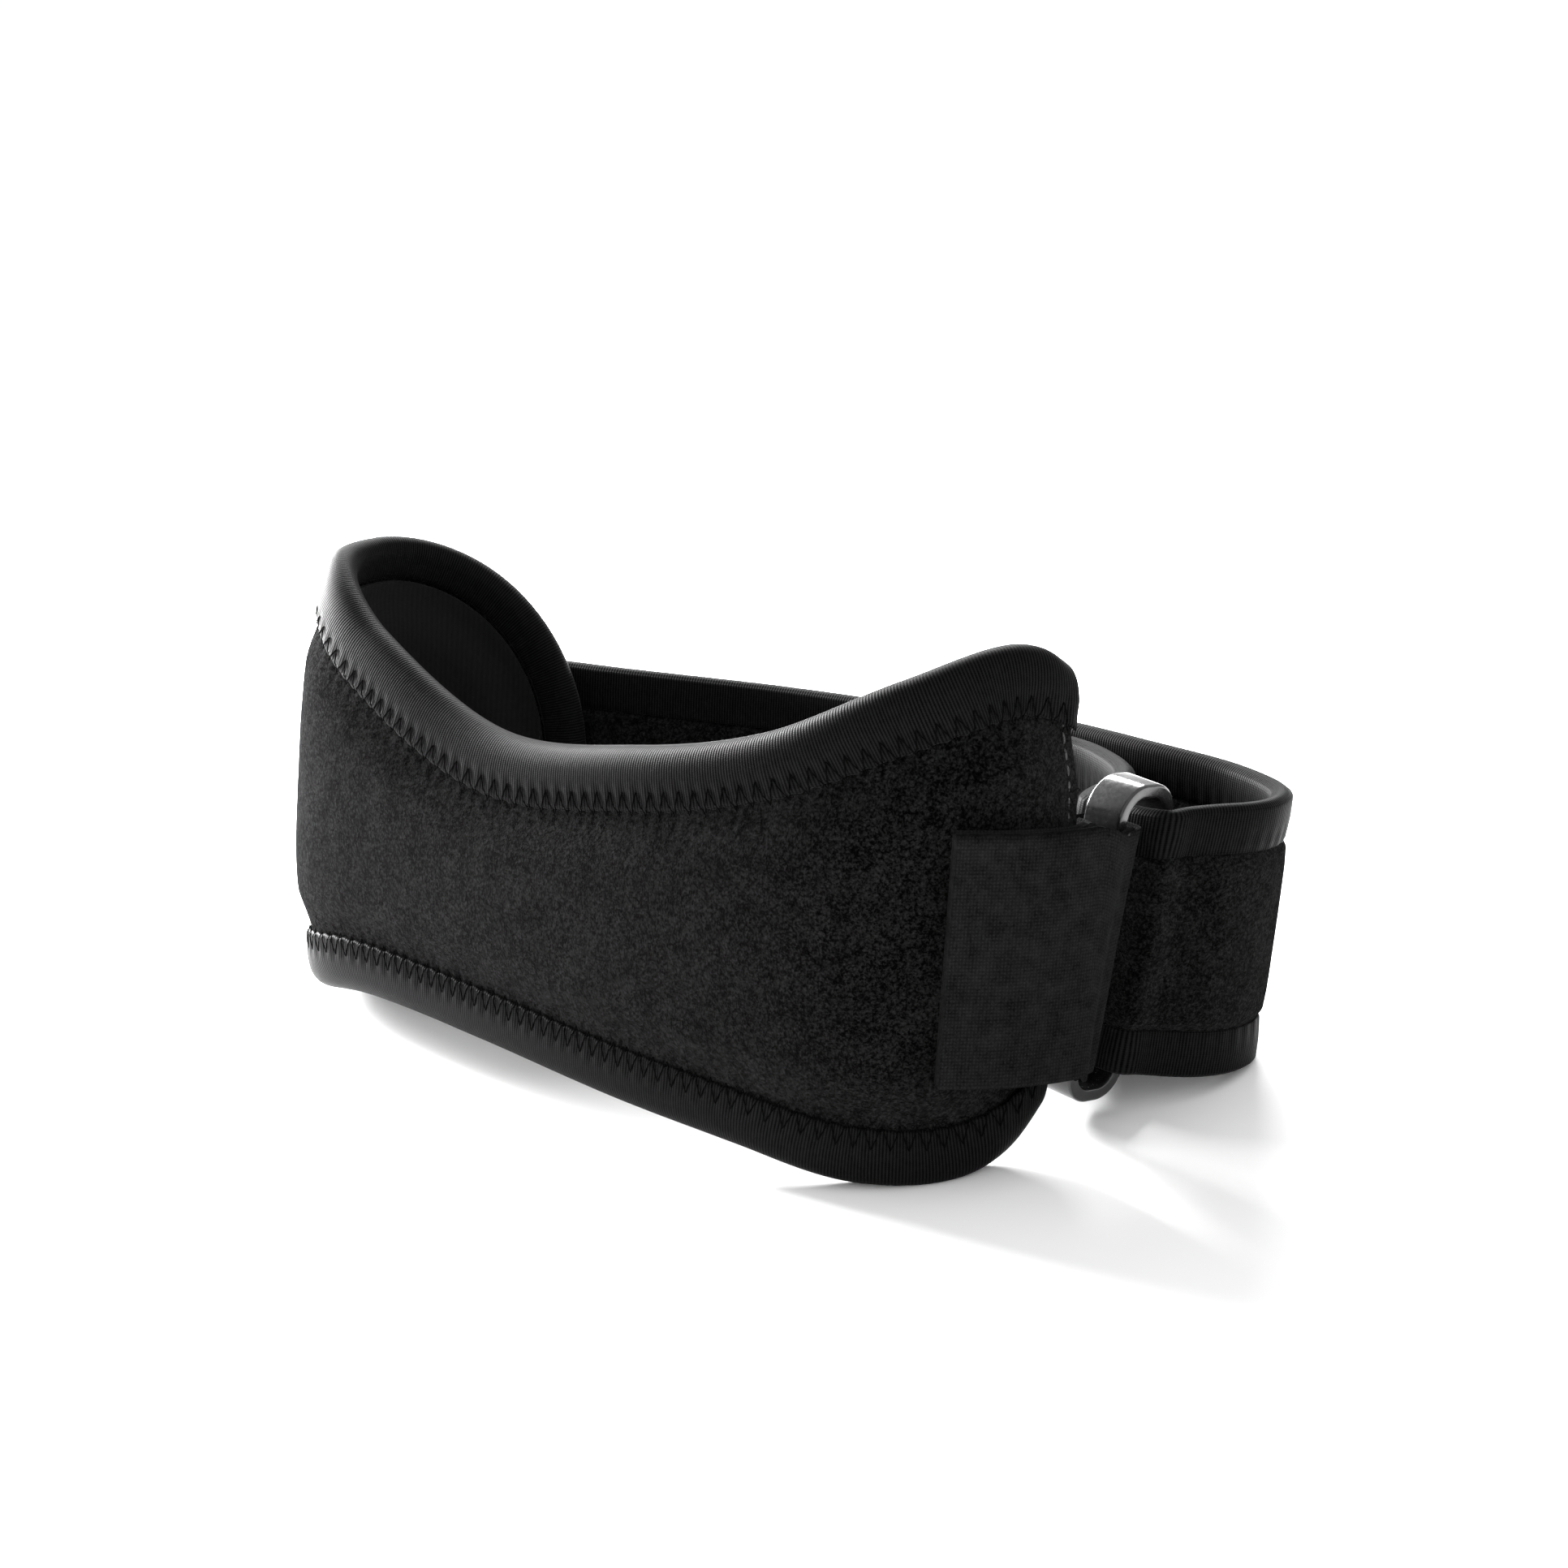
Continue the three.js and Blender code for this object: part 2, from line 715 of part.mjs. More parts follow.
// Edges that would reach below the floor are pressed flat on it.
function pressFlat(geometry) {
  const place = geometry.attributes.position;
  const point = new THREE.Vector3();
  for (let i = 0; i < place.count; i += 1) {
    point.fromBufferAttribute(place, i);
    const depth = -floor.distanceToPoint(point);
    if (depth > 0) point.addScaledVector(floor.normal, depth);
    place.setXYZ(i, point.x, point.y, point.z);
  }
  return geometry;
}

const ring = piece("slide_ring", slideRing(), ringLacquer);
ring.position.set(ringPlan.x, ringPlan.y, ringCentre);
ring.quaternion
  .setFromAxisAngle(new THREE.Vector3(0, 1, 0), ringLean)
  .multiply(
    new THREE.Quaternion().setFromRotationMatrix(
      new THREE.Matrix4().makeBasis(
        new THREE.Vector3(ringU.x, ringU.y, 0),
        new THREE.Vector3(0, 0, 1),
        new THREE.Vector3(ringW.x, ringW.y, 0),
      ),
    ),
  );

const band = new THREE.Group();
band.add(
  piece("pad_shell", pressFlat(padShell()), padCloth),
  piece("pad_lining", padLining(), liningCloth),
  piece("pad_binding", pressFlat(padBinding()), ribbedTape),
  piece("strap_body", pressFlat(strapBody()), padCloth),
  piece("strap_top_binding", strapEdging(1), ribbedTape),
  piece("strap_bottom_binding", pressFlat(strapEdging(-1)), ribbedTape),
  piece("ring_tab", ringTab(), wovenTape),
  piece("hook_patch", hookPatch(), hookPlastic),
  ring,
);
band.quaternion.setFromUnitVectors(floor.normal, new THREE.Vector3(0, 0, 1));

// The finished part stands on z = 0 with the middle of its box over the origin.
const patellaStrap = new THREE.Group();
patellaStrap.add(band);
const box = new THREE.Box3().setFromObject(patellaStrap, true);
const middle = box.getCenter(new THREE.Vector3());
band.position.set(-middle.x, -middle.y, -box.min.z);

export default patellaStrap;
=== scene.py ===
"""Looks of the patella strap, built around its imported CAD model.

Lengths are millimetres in the worn frame of the part's source, where x runs to the
viewer's right, y away from the viewer and z up. resting() takes them to the metres
of the CAD frame, in which the band leans back on the floor.
"""

import math

import bpy
import numpy as np
from mathutils import Matrix, Vector


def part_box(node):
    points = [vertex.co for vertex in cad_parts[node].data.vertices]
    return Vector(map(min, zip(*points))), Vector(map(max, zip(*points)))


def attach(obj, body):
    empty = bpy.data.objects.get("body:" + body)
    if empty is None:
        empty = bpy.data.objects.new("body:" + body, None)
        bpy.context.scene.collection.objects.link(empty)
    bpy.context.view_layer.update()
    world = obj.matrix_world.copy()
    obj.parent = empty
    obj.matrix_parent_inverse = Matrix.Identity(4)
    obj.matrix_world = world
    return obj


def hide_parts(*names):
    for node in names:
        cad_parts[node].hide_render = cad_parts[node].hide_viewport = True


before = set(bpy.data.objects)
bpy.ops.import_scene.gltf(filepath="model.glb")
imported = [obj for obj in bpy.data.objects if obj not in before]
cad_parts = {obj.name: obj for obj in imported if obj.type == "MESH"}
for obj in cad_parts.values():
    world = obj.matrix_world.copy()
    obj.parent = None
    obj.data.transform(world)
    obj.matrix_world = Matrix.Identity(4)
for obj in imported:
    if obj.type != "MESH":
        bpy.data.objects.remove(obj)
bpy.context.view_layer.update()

MM = 0.001

# Sizes of the part, in millimetres, as in its source
CLEARANCE = 0.3
FOLD_GAP = 0.5
PAD_LENGTH = 233
WING_HEIGHT = 96
PAD_THICKNESS = 7.4
PAD_MARGIN = 3.6
PAD_BOW = 3.8
PAD_BOW_REACH = 32
PAD_PUFF = 9
LOBE_LENGTH = 44
LINING_THICKNESS = 1
BINDING_THICKNESS = 1
BINDING_FACE = 11
BINDING_BACK = 8
STRAP_WIDTH = 50
STRAP_THICKNESS = 4
STRAP_MARGIN = 1.8
STRAP_BINDING = 0.8
STRAP_BINDING_FACE = 9
STRAP_HEIGHT = 40
SEWN_LENGTH = 34
REAR_BULGE = 7.5
RETURN_LENGTH = 47
SLACK_REACH = 34
OVERLAP_LENGTH = 38
TAIL_LEAD = 5
LEAN_FADE = 3.2
RING_HEIGHT = 58
RING_WIDTH = 15
RING_BAND = 2.5
RING_DEPTH = 8
RING_HEADING = math.radians(45)
RING_LEAN = math.radians(6)
RING_OFFSET = 17.5
RING_CORNER = 6.3
RING_CENTRE = 41.5
TAB_HEIGHT = 44
TAB_CENTRE = 44.5
TAB_THICKNESS = 1.4
TAB_SEAM = 20
HOOK_THICKNESS = 1.2

# Shares: of the pad's thickness that is left at its cut right end, and of the pitch
# that a stitch there covers
END_THINNING = 0.62
END_STITCH_SHARE = 0.72

# Sizes of the soft detail that only the looks have, in millimetres
LONG_SWELL = 0.22
SHORT_SWELL = 0.16
TUCK_DEPTH = 0.22
TAPE_TUCK = 0.16
TAPE_SCALLOP = 0.3
STRAP_TAPE_TUCK = 0.1
STRAP_CROWN = 0.3
RING_EDGE = 0.55
TAB_EDGE = 0.12
TAB_CREASE = 0.12
STITCH_PITCH = 3.1
STITCH_REACH = (-3.4, 0.9)
STITCH_SINK = 0.1
STITCH_RADIUS = 0.11
STITCH_LIFT = 0.1
END_SEAM = 1.8
END_PITCH = 2.6
END_STITCH_RADIUS = 0.2
END_STITCH_LIFT = 0.25

# Where the lower edges touch the floor, as shares of the pad's and the strap's length
STANDING = {"left_wing": 0.845, "right_wing": 0.075, "strap": 0.77}

# Direction of the pad in plan, in degrees, from its right end round to the rear lobe
PAD_COURSE = {
    "share": [0, 0.1, 0.2, 0.3, 0.4, 0.5, 0.6, 0.7, 0.8, 0.9, 1],
    "heading": [221, 181, 150, 141, 137, 135, 134, 119, 51, -4, -24],
}
# Lower and upper edge of the pad as shares of the wing height
PAD_OUTLINE = {
    "share": [0, 0.02, 0.05, 0.125, 0.225, 0.35, 0.5, 0.65, 0.74, 0.82],
    "lower": [0.142, 0.082, 0.038, 0.015, 0.04, 0.053, 0.067, 0.062, 0.018, 0.006],
    "upper": [0.965, 0.993, 1, 0.93, 0.806, 0.723, 0.68, 0.8, 0.905, 0.925],
}
# Height of the strap's centre line and its width, as shares, along its length
STRAP_COURSE = {
    "share": [0, 0.2, 0.42, 0.52, 0.6, 0.66, 0.74, 0.84, 1],
    "rise": [-0.05, -0.03, 0.02, 0.03, 0.01, 0, 0.03, 0.045, 0.03],
    "width": [1, 1, 1, 1, 0.94, 1, 1.02, 1.02, 1],
}
# Loop of slack from the ring round to the tail, as shares of the slack's reach
SLACK_LOOP = [(0.6, 0.08), (0.78, 0.23), (0.88, 0.48), (0.72, 0.85), (0.27, 1.3)]
# The strap's way back to the ring, as shares of the length of that stretch
STRAP_RETURN = [(-0.055, 1), (0.02, 0.8), (0.035, 0.5)]
# Ways round a limb of the ring: across from its side nearest the pad by shares of its
# band and of the clear way round it, and through the ring by shares of half its depth
# and of that way
STRAP_TURN = [
    (0, -1.52, -2.5, 0),
    (0, -1.17, -1, 0),
    (0, -1.09, 0.62, 0),
    (0, -0.62, 1, 0.9),
    (0, 0.9, 1, 1.5),
]
TAB_TURN = [
    (0, -3.3, 0.75, 0),
    (0, -1.15, -0.62, 0),
    (0, -0.75, -1, -0.75),
    (0.5, 0, -1, -1.08),
    (1, 0.75, -1, -0.75),
    (1, 1.08, -0.7, 0),
    (1, 1.08, 0.75, 0),
    (1, 0.6, 1, 1),
    (0, -0.38, 1, 1.77),
]


def column_at(table, column, share):
    """Smooth value of a table's column at a share, through every row."""
    at = np.array(table["share"], float)
    values = np.array(table[column], float)
    share = np.asarray(share, float)
    slopes = np.diff(values) / np.diff(at)
    last = len(at) - 1
    i = np.clip(np.searchsorted(at, share), 1, last)
    here = slopes[i - 1]
    before = np.where(i > 1, (slopes[np.maximum(i - 2, 0)] + here) / 2, here)
    after = np.where(i < last, (here + slopes[np.minimum(i, last - 1)]) / 2, here)
    span = at[i] - at[i - 1]
    t = (share - at[i - 1]) / span
    return (
        values[i - 1] * (2 * t**3 - 3 * t**2 + 1)
        + before * span * (t**3 - 2 * t**2 + t)
        + values[i] * (3 * t**2 - 2 * t**3)
        + after * span * (t**3 - t**2)
    )


def smoothstep(value, low, high):
    """Smooth rise from 0 at low to 1 at high."""
    t = np.clip((np.asarray(value, float) - low) / (high - low), 0, 1)
    return t * t * (3 - 2 * t)


class PlanPath:
    """A plan path as a fine polyline that gives places and the normal to its left."""

    def __init__(self, points):
        self.points = np.array(points, float)
        steps = np.linalg.norm(np.diff(self.points, axis=0), axis=1)
        self.lengths = np.concatenate([[0], np.cumsum(steps)])
        self.length = self.lengths[-1]
        along = np.gradient(self.points, axis=0)
        along /= np.linalg.norm(along, axis=1)[:, None]
        self.normals = np.stack([-along[:, 1], along[:, 0]], axis=1)

    def at(self, length, offset=0.0):
        """Places at lengths along the path, an offset to its left."""
        length, offset = np.broadcast_arrays(length, offset)
        i = np.clip(np.searchsorted(self.lengths, length), 1, len(self.points) - 1)
        share = (length - self.lengths[i - 1]) / (self.lengths[i] - self.lengths[i - 1])
        inside = np.clip(share, 0, 1)[..., None]
        turn = self.normals[i - 1] * (1 - inside) + self.normals[i] * inside
        turn /= np.linalg.norm(turn, axis=-1, keepdims=True)
        start, end = self.points[i - 1], self.points[i]
        return start + (end - start) * share[..., None] + turn * offset[..., None]


def evenly(points, samples):
    """A polyline sampled again at even steps."""
    lengths = np.concatenate([[0], np.cumsum(np.linalg.norm(np.diff(points, axis=0), axis=1))])
    even = np.linspace(0, lengths[-1], samples + 1)
    return np.stack([np.interp(even, lengths, column) for column in points.T], axis=1)


def smooth_curve(points, samples):
    """Centripetal Catmull-Rom curve through points, as evenly spaced samples."""
    points = np.array(points, float)
    first = 2 * points[0] - points[1]
    last = 2 * points[-1] - points[-2]
    knots = np.vstack([first, points, last])
    fine = []
    steps_between = 60
    share = np.linspace(0, 1, steps_between, endpoint=False)[:, None]
    for p0, p1, p2, p3 in zip(knots, knots[1:], knots[2:], knots[3:]):
        a, b, c = (np.sqrt(np.linalg.norm(q - p)) for p, q in ((p0, p1), (p1, p2), (p2, p3)))
        start = ((p1 - p0) / a - (p2 - p0) / (a + b) + (p2 - p1) / b) * b
        end = ((p2 - p1) / b - (p3 - p1) / (b + c) + (p3 - p2) / c) * b
        bend = -3 * p1 + 3 * p2 - 2 * start - end
        twist = 2 * p1 - 2 * p2 + start + end
        fine.append(p1 + start * share + bend * share**2 + twist * share**3)
    return evenly(np.vstack([*fine, points[-1:]]), samples)


# Layout of the pad


def pad_path():
    """The pad in plan, from its right end at the origin round to the rear lobe."""
    steps = 240
    share = (np.arange(steps) + 0.5) / steps
    heading = np.radians(column_at(PAD_COURSE, "heading", share))
    step = PAD_LENGTH / steps * np.stack([np.cos(heading), np.sin(heading)], axis=1)
    return PlanPath(np.vstack([[0, 0], np.cumsum(step, axis=0)]))


LOBE_START = PAD_LENGTH - LOBE_LENGTH


def pad_edges(length, inset=0.0):
    """Lower and upper edge at lengths along the pad, drawn in by an inset."""
    length = np.asarray(length, float)
    share = np.minimum(length, LOBE_START) / PAD_LENGTH
    nudge = 0.001

    def edge(column):
        return WING_HEIGHT * column_at(PAD_OUTLINE, column, share)

    def squared(column):
        above = column_at(PAD_OUTLINE, column, share + nudge)
        below = column_at(PAD_OUTLINE, column, share - nudge)
        rise = WING_HEIGHT * (above - below) / (2 * nudge * PAD_LENGTH)
        return inset * np.hypot(1, np.where(length < LOBE_START, rise, 0))

    lower = edge("lower") + squared("lower")
    upper = edge("upper") - squared("upper")
    out = np.clip((length - LOBE_START) / (LOBE_LENGTH - inset), 0, 1)
    middle, half = (lower + upper) / 2, (upper - lower) / 2 * np.sqrt(1 - out**2)
    return middle - half, middle + half


def pad_rim(steps, lobe_steps):
    """The bound edge in the flat: along the top, round the lobe, back along the bottom."""
    length = LOBE_START * np.arange(steps) / steps
    lower, upper = pad_edges(length)
    end_low, end_high = pad_edges(LOBE_START)
    turn = (0.5 - np.arange(lobe_steps + 1) / lobe_steps) * math.pi
    lobe = np.stack(
        [
            LOBE_START + LOBE_LENGTH * np.cos(turn),
            (end_low + end_high) / 2 + (end_high - end_low) / 2 * np.sin(turn),
        ],
        axis=1,
    )
    top = np.stack([length, upper], axis=1)
    bottom = np.stack([length, lower], axis=1)[::-1]
    return np.vstack([top, lobe, bottom])


PAD_PLAN = pad_path()
RIM = pad_rim(200, 60)


def distance_to_rim(length, height):
    """Shortest way in the flat from places on the pad to its bound edge."""
    point = np.stack(np.broadcast_arrays(length, height), axis=-1).astype(float)
    nearest = np.full(point.shape[:-1], np.inf)
    for start, end in zip(RIM, RIM[1:]):
        along = end - start
        to = point - start
        share = np.clip(to @ along / (along @ along), 0, 1)
        nearest = np.minimum(nearest, np.linalg.norm(to - share[..., None] * along, axis=-1))
    return nearest


def bow_at(depth):
    """How far the pad bows out at a distance in from the rim."""
    return PAD_BOW * np.sin(np.clip(depth / PAD_BOW_REACH, 0, 1) * 0.5 * math.pi)


FOLD_RADIUS = PAD_MARGIN / 2 + FOLD_GAP + BINDING_THICKNESS


def pad_half(depth):
    """Half the pad's thickness at a distance in from the rim."""
    margin = PAD_MARGIN / 2
    back = np.clip((FOLD_RADIUS - depth) / margin, 0, 0.95)
    edge = margin * np.sqrt(1 - back**2)
    puff = smoothstep(depth, BINDING_FACE, BINDING_FACE + PAD_PUFF)
    return np.where(depth < FOLD_RADIUS, edge, margin + (PAD_THICKNESS / 2 - margin) * puff)


def on_pad(length, height, depth, out):
    """Places of the pad's flat layout, a given way out from its middle surface."""
    plan = PAD_PLAN.at(length, bow_at(depth) + out)
    height = np.broadcast_to(height, plan.shape[:-1])
    return np.concatenate([plan, height[..., None]], axis=-1)


# Layout of the ring and the strap

RING_U = np.array([math.cos(RING_HEADING), math.sin(RING_HEADING)])
RING_W = np.array([RING_U[1], -RING_U[0]])
RING_PLAN = RING_OFFSET * RING_U


def from_ring(u, w):
    """Plan place at u away from the pad and w out through the ring, from its centre."""
    return RING_PLAN + u * RING_U + w * RING_W


def lean_with_ring(points, hold):
    """Sideways lean of whatever passes through the ring, which fades out round it."""
    points = points.copy()
    points[..., 0] += hold * math.tan(RING_LEAN) * (points[..., 2] - RING_CENTRE)
    return points


LAYER_PITCH = STRAP_THICKNESS + HOOK_THICKNESS + 2 * CLEARANCE


def round_limb(way, u, reach):
    """Places on a way round a limb of the ring whose side nearest the pad is at u."""
    return [
        from_ring(u + band * RING_BAND + side * reach, depth * RING_DEPTH / 2 + past * reach)
        for band, side, depth, past in way
    ]


def strap_path():
    """The strap in plan: sewn to the rear lobe, back, through the ring and round to its tail."""
    seat = PAD_BOW + PAD_THICKNESS / 2 + 2 * CLEARANCE + STRAP_THICKNESS / 2
    sewn = np.array([1, 0.8, 0.6, 0.4, 0.2, 0.02])
    on_wing = PAD_PLAN.at(PAD_LENGTH - SEWN_LENGTH * sewn, seat)
    leave = on_wing[-1]
    back = [RING_PLAN + RETURN_LENGTH * np.array(step) for step in STRAP_RETURN]
    turn_in = back[0]
    chord = turn_in - leave
    aside = np.array([-chord[1], chord[0]]) / np.linalg.norm(chord)
    rear = [leave + chord * s + aside * 4 * REAR_BULGE * s * (1 - s) for s in (0.33, 0.58, 0.82)]
    reach = STRAP_THICKNESS / 2 + CLEARANCE
    through = round_limb(STRAP_TURN, RING_WIDTH / 2 - RING_BAND, reach)
    inbound = [*on_wing, *rear, *back, *through]
    samples = 300
    main = PlanPath(smooth_curve(inbound, samples))
    near = np.linalg.norm(main.points - turn_in, axis=1) <= main.length / samples
    end = main.lengths[np.argmax(near)] - TAIL_LEAD
    slack = [RING_PLAN + SLACK_REACH * np.array(step) for step in SLACK_LOOP]
    tail = [main.at(end - OVERLAP_LENGTH * share, LAYER_PITCH) for share in (0.1, 0.4, 0.7, 1)]
    return PlanPath(smooth_curve([*inbound, *slack, *tail], 3 * samples))


STRAP = strap_path()


def on_strap(share, up, out):
    """Places on the strap: a share of its length, of half its width, and a way out."""
    share, up, out = np.broadcast_arrays(share, up, out)
    plan = STRAP.at(STRAP.length * share, out)
    middle = STRAP_HEIGHT * (1 + column_at(STRAP_COURSE, "rise", share))
    half = STRAP_WIDTH / 2 * column_at(STRAP_COURSE, "width", share)
    away = np.linalg.norm(STRAP.at(STRAP.length * share) - RING_PLAN, axis=-1)
    hold = 1 - smoothstep(away, RING_WIDTH, RING_WIDTH * LEAN_FADE)
    height = middle + (RING_CENTRE - middle) * hold + half * up
    return lean_with_ring(np.concatenate([plan, height[..., None]], axis=-1), hold)


def resting():
    """Turn and shift that set the worn frame down on its three feet."""
    left = STANDING["left_wing"] * PAD_LENGTH
    right = STANDING["right_wing"] * PAD_LENGTH
    feet = [
        on_pad(left, pad_edges(left)[0], 0, 0),
        on_pad(right, pad_edges(right)[0], 0, 0),
        on_strap(STANDING["strap"], -1, 0),
    ]
    normal = Vector(np.cross(feet[1] - feet[0], feet[2] - feet[0]))
    if normal.z < 0:
        normal.negate()
    turn = normal.rotation_difference(Vector((0, 0, 1))).to_matrix()
    low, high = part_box("slide_ring")
    shift = (low + high) / 2 - turn @ Vector((*RING_PLAN, RING_CENTRE)) * MM
    return np.array(turn), np.array(shift)


REST_TURN, REST_SHIFT = resting()


def to_floor(points):
    """Worn-frame millimetres as CAD-frame metres; soft edges are pressed flat on the floor."""
    placed = points @ REST_TURN.T * MM + REST_SHIFT
    placed[..., 2] = np.maximum(placed[..., 2], 0)
    return placed


# Meshes


def make_piece(name, vertices, faces, material, uvs=None):
    """Smooth mesh object that rides on the band; uvs lists each face's (u, v) corners."""
    mesh = bpy.data.meshes.new(name)
    mesh.from_pydata(vertices.tolist(), [], faces)
    if uvs is not None:
        layer = mesh.uv_layers.new(name="UVMap")
        flat = np.array([corner for face in uvs for corner in face], float)
        layer.data.foreach_set("uv", flat.ravel())
    mesh.polygons.foreach_set("use_smooth", [True] * len(mesh.polygons))
    mesh.materials.append(material)
    mesh.validate()
    mesh.update()
    obj = bpy.data.objects.new(name, mesh)
    bpy.context.scene.collection.objects.link(obj)
    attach(obj, "root")
    return obj


def rolled_band(name, rows, along, around, material):
    """Closed solid from rows (stations, points round a section, 3), capped at both ends.

    along and around give each point's place on the cloth in millimetres, for the weave;
    around has one more column than there are points, for where the section closes.
    """
    stations, count = rows.shape[:2]
    vertices = to_floor(rows.reshape(-1, 3))
    faces, uvs = [], []

    def corner(s, i):
        return along[s, i % count] * MM, around[s, i] * MM

    for s in range(stations - 1):
        for i in range(count):
            j = (i + 1) % count
            faces.append((s * count + i, s * count + j, (s + 1) * count + j, (s + 1) * count + i))
            uvs.append((corner(s, i), corner(s, i + 1), corner(s + 1, i + 1), corner(s + 1, i)))
    half = count // 2
    for s, flip in ((0, True), (stations - 1, False)):
        for i in range(half - 1):
            j = count - 1 - i
            face = [s * count + i, s * count + i + 1, s * count + j - 1, s * count + j]
            cap_uvs = [corner(s, i), corner(s, i + 1), corner(s, j - 1), corner(s, j)]
            faces.append(tuple(face[::-1] if flip else face))
            uvs.append(tuple(cap_uvs[::-1] if flip else cap_uvs))
    obj = make_piece(name, vertices, faces, material, uvs)
    face_outwards(obj)
    return obj


def face_outwards(obj):
    """Turns a closed mesh inside out where its faces look inwards."""
    mesh = obj.data
    volume = 0.0
    for polygon in mesh.polygons:
        a, *rest = (mesh.vertices[i].co for i in polygon.vertices)
        for b, c in zip(rest, rest[1:]):
            volume += a.dot(b.cross(c))
    if volume < 0:
        mesh.flip_normals()


def section_lengths(rows):
    """Distance round each section, with the closing step."""
    closed = np.concatenate([rows, rows[:, :1]], axis=1)
    steps = np.linalg.norm(np.diff(closed, axis=1), axis=2)
    return np.concatenate([np.zeros((len(rows), 1)), np.cumsum(steps, axis=1)], axis=1)


# Materials


class Recipe:
    """A material and short calls for its nodes."""

    def __init__(self, name, color, roughness, specular=0.5, sheen=0.0, sheen_roughness=0.5):
        self.material = bpy.data.materials.new(name)
        self.material.use_nodes = True
        self.nodes = self.material.node_tree.nodes
        self.links = self.material.node_tree.links
        self.shader = self.nodes["Principled BSDF"]
        self.shader.inputs["Base Color"].default_value = (*color, 1)
        self.shader.inputs["Roughness"].default_value = roughness
        self.shader.inputs["Specular IOR Level"].default_value = specular
        self.shader.inputs["Sheen Weight"].default_value = sheen
        self.shader.inputs["Sheen Roughness"].default_value = sheen_roughness

    def add(self, kind, **settings):
        """New node of a kind with its settings."""
        node = self.nodes.new(kind)
        for key, value in settings.items():
            setattr(node, key, value)
        return node

    def place(self, kind):
        """Texture coordinates of a kind, such as Object or UV."""
        return self.add("ShaderNodeTexCoord").outputs[kind]

    def join(self, source, target):
        self.links.new(source, target)

    def noise(self, place, pitch, detail=2.0, rough=0.5):
        """Noise whose blobs are about a pitch across, in millimetres."""
        node = self.add("ShaderNodeTexNoise")
        node.inputs["Scale"].default_value = 1 / (pitch * MM)
        node.inputs["Detail"].default_value = detail
        node.inputs["Roughness"].default_value = rough
        self.join(place, node.inputs["Vector"])
        return node.outputs["Fac"]

    def cells(self, place, pitch):
        """Distance to the nearest of points that are about a pitch apart."""
        node = self.add("ShaderNodeTexVoronoi")
        node.inputs["Scale"].default_value = 1 / (pitch * MM)
        self.join(place, node.inputs["Vector"])
        return node.outputs["Distance"]

    def sine(self, value, pitch):
        """Sine wave of a length in metres, from 0 to 1, with a pitch in millimetres."""
        turned = self.math("MULTIPLY", value, 2 * math.pi / (pitch * MM))
        return self.math("MULTIPLY_ADD", self.math("SINE", turned), 0.5, 0.5)

    def math(self, operation, *values):
        """Result of a sum on numbers and other nodes' results."""
        node = self.add("ShaderNodeMath", operation=operation)
        for socket, value in zip(node.inputs, values):
            if isinstance(value, (int, float)):
                socket.default_value = value
            else:
                self.join(value, socket)
        return node.outputs[0]

    def ramp(self, value, low, high, dark, light):
        """Colour from dark to light as a value goes from low to high."""
        share = self.add("ShaderNodeMapRange")
        share.inputs["From Min"].default_value = low
        share.inputs["From Max"].default_value = high
        self.join(value, share.inputs["Value"])
        node = self.add("ShaderNodeValToRGB")
        first, last = node.color_ramp.elements
        first.color, last.color = (*dark, 1), (*light, 1)
        self.join(share.outputs["Result"], node.inputs["Fac"])
        return node.outputs["Color"]

    def split(self, place):
        """The three parts of a place."""
        node = self.add("ShaderNodeSeparateXYZ")
        self.join(place, node.inputs[0])
        return node.outputs

    def color(self, source):
        self.join(source, self.shader.inputs["Base Color"])

    def roughness(self, source):
        self.join(source, self.shader.inputs["Roughness"])

    def bump(self, height, depth, strength=1.0):
        """Relief of a height from 0 to 1, as deep as a depth in millimetres."""
        node = self.add("ShaderNodeBump")
        node.inputs["Strength"].default_value = strength
        node.inputs["Distance"].default_value = depth * MM
        self.join(height, node.inputs["Height"])
        self.join(node.outputs["Normal"], self.shader.inputs["Normal"])


def brushed_loop_cloth():
    """Black nap of tiny loops, each of which catches a little light: the bright fuzz flecks and
    loop tips are a painted glint in the colour, over a random tone of clumps.
    """
    cloth = Recipe(
        "brushed_loop_cloth",
        (0.01, 0.01, 0.01),
        roughness=0.8,
        specular=0.0,
        sheen=0.04,
        sheen_roughness=0.3,
    )
    place = cloth.place("Object")
    loops = cloth.cells(place, 0.9)
    fuzz = cloth.noise(place, pitch=0.4, detail=4, rough=0.75)
    clumps = cloth.noise(place, pitch=5.0, detail=3, rough=0.6)
    tips = cloth.math("SUBTRACT", 1.0, loops)
    height = cloth.math("MULTIPLY", fuzz, 1.4)
    height = cloth.math("MULTIPLY_ADD", tips, 0.3, height)
    height = cloth.math("MULTIPLY_ADD", clumps, 0.3, height)
    # Painted glint: colour lighter at the fuzz peaks and loop tips, with a random tone from the
    # clumps
    dark, light = (0.0001, 0.0001, 0.0001), (0.022, 0.022, 0.0222)
    cloth.color(cloth.ramp(height, 0.88, 1.3, dark, light))
    cloth.bump(height, depth=0.5, strength=1.0)
    return cloth.material


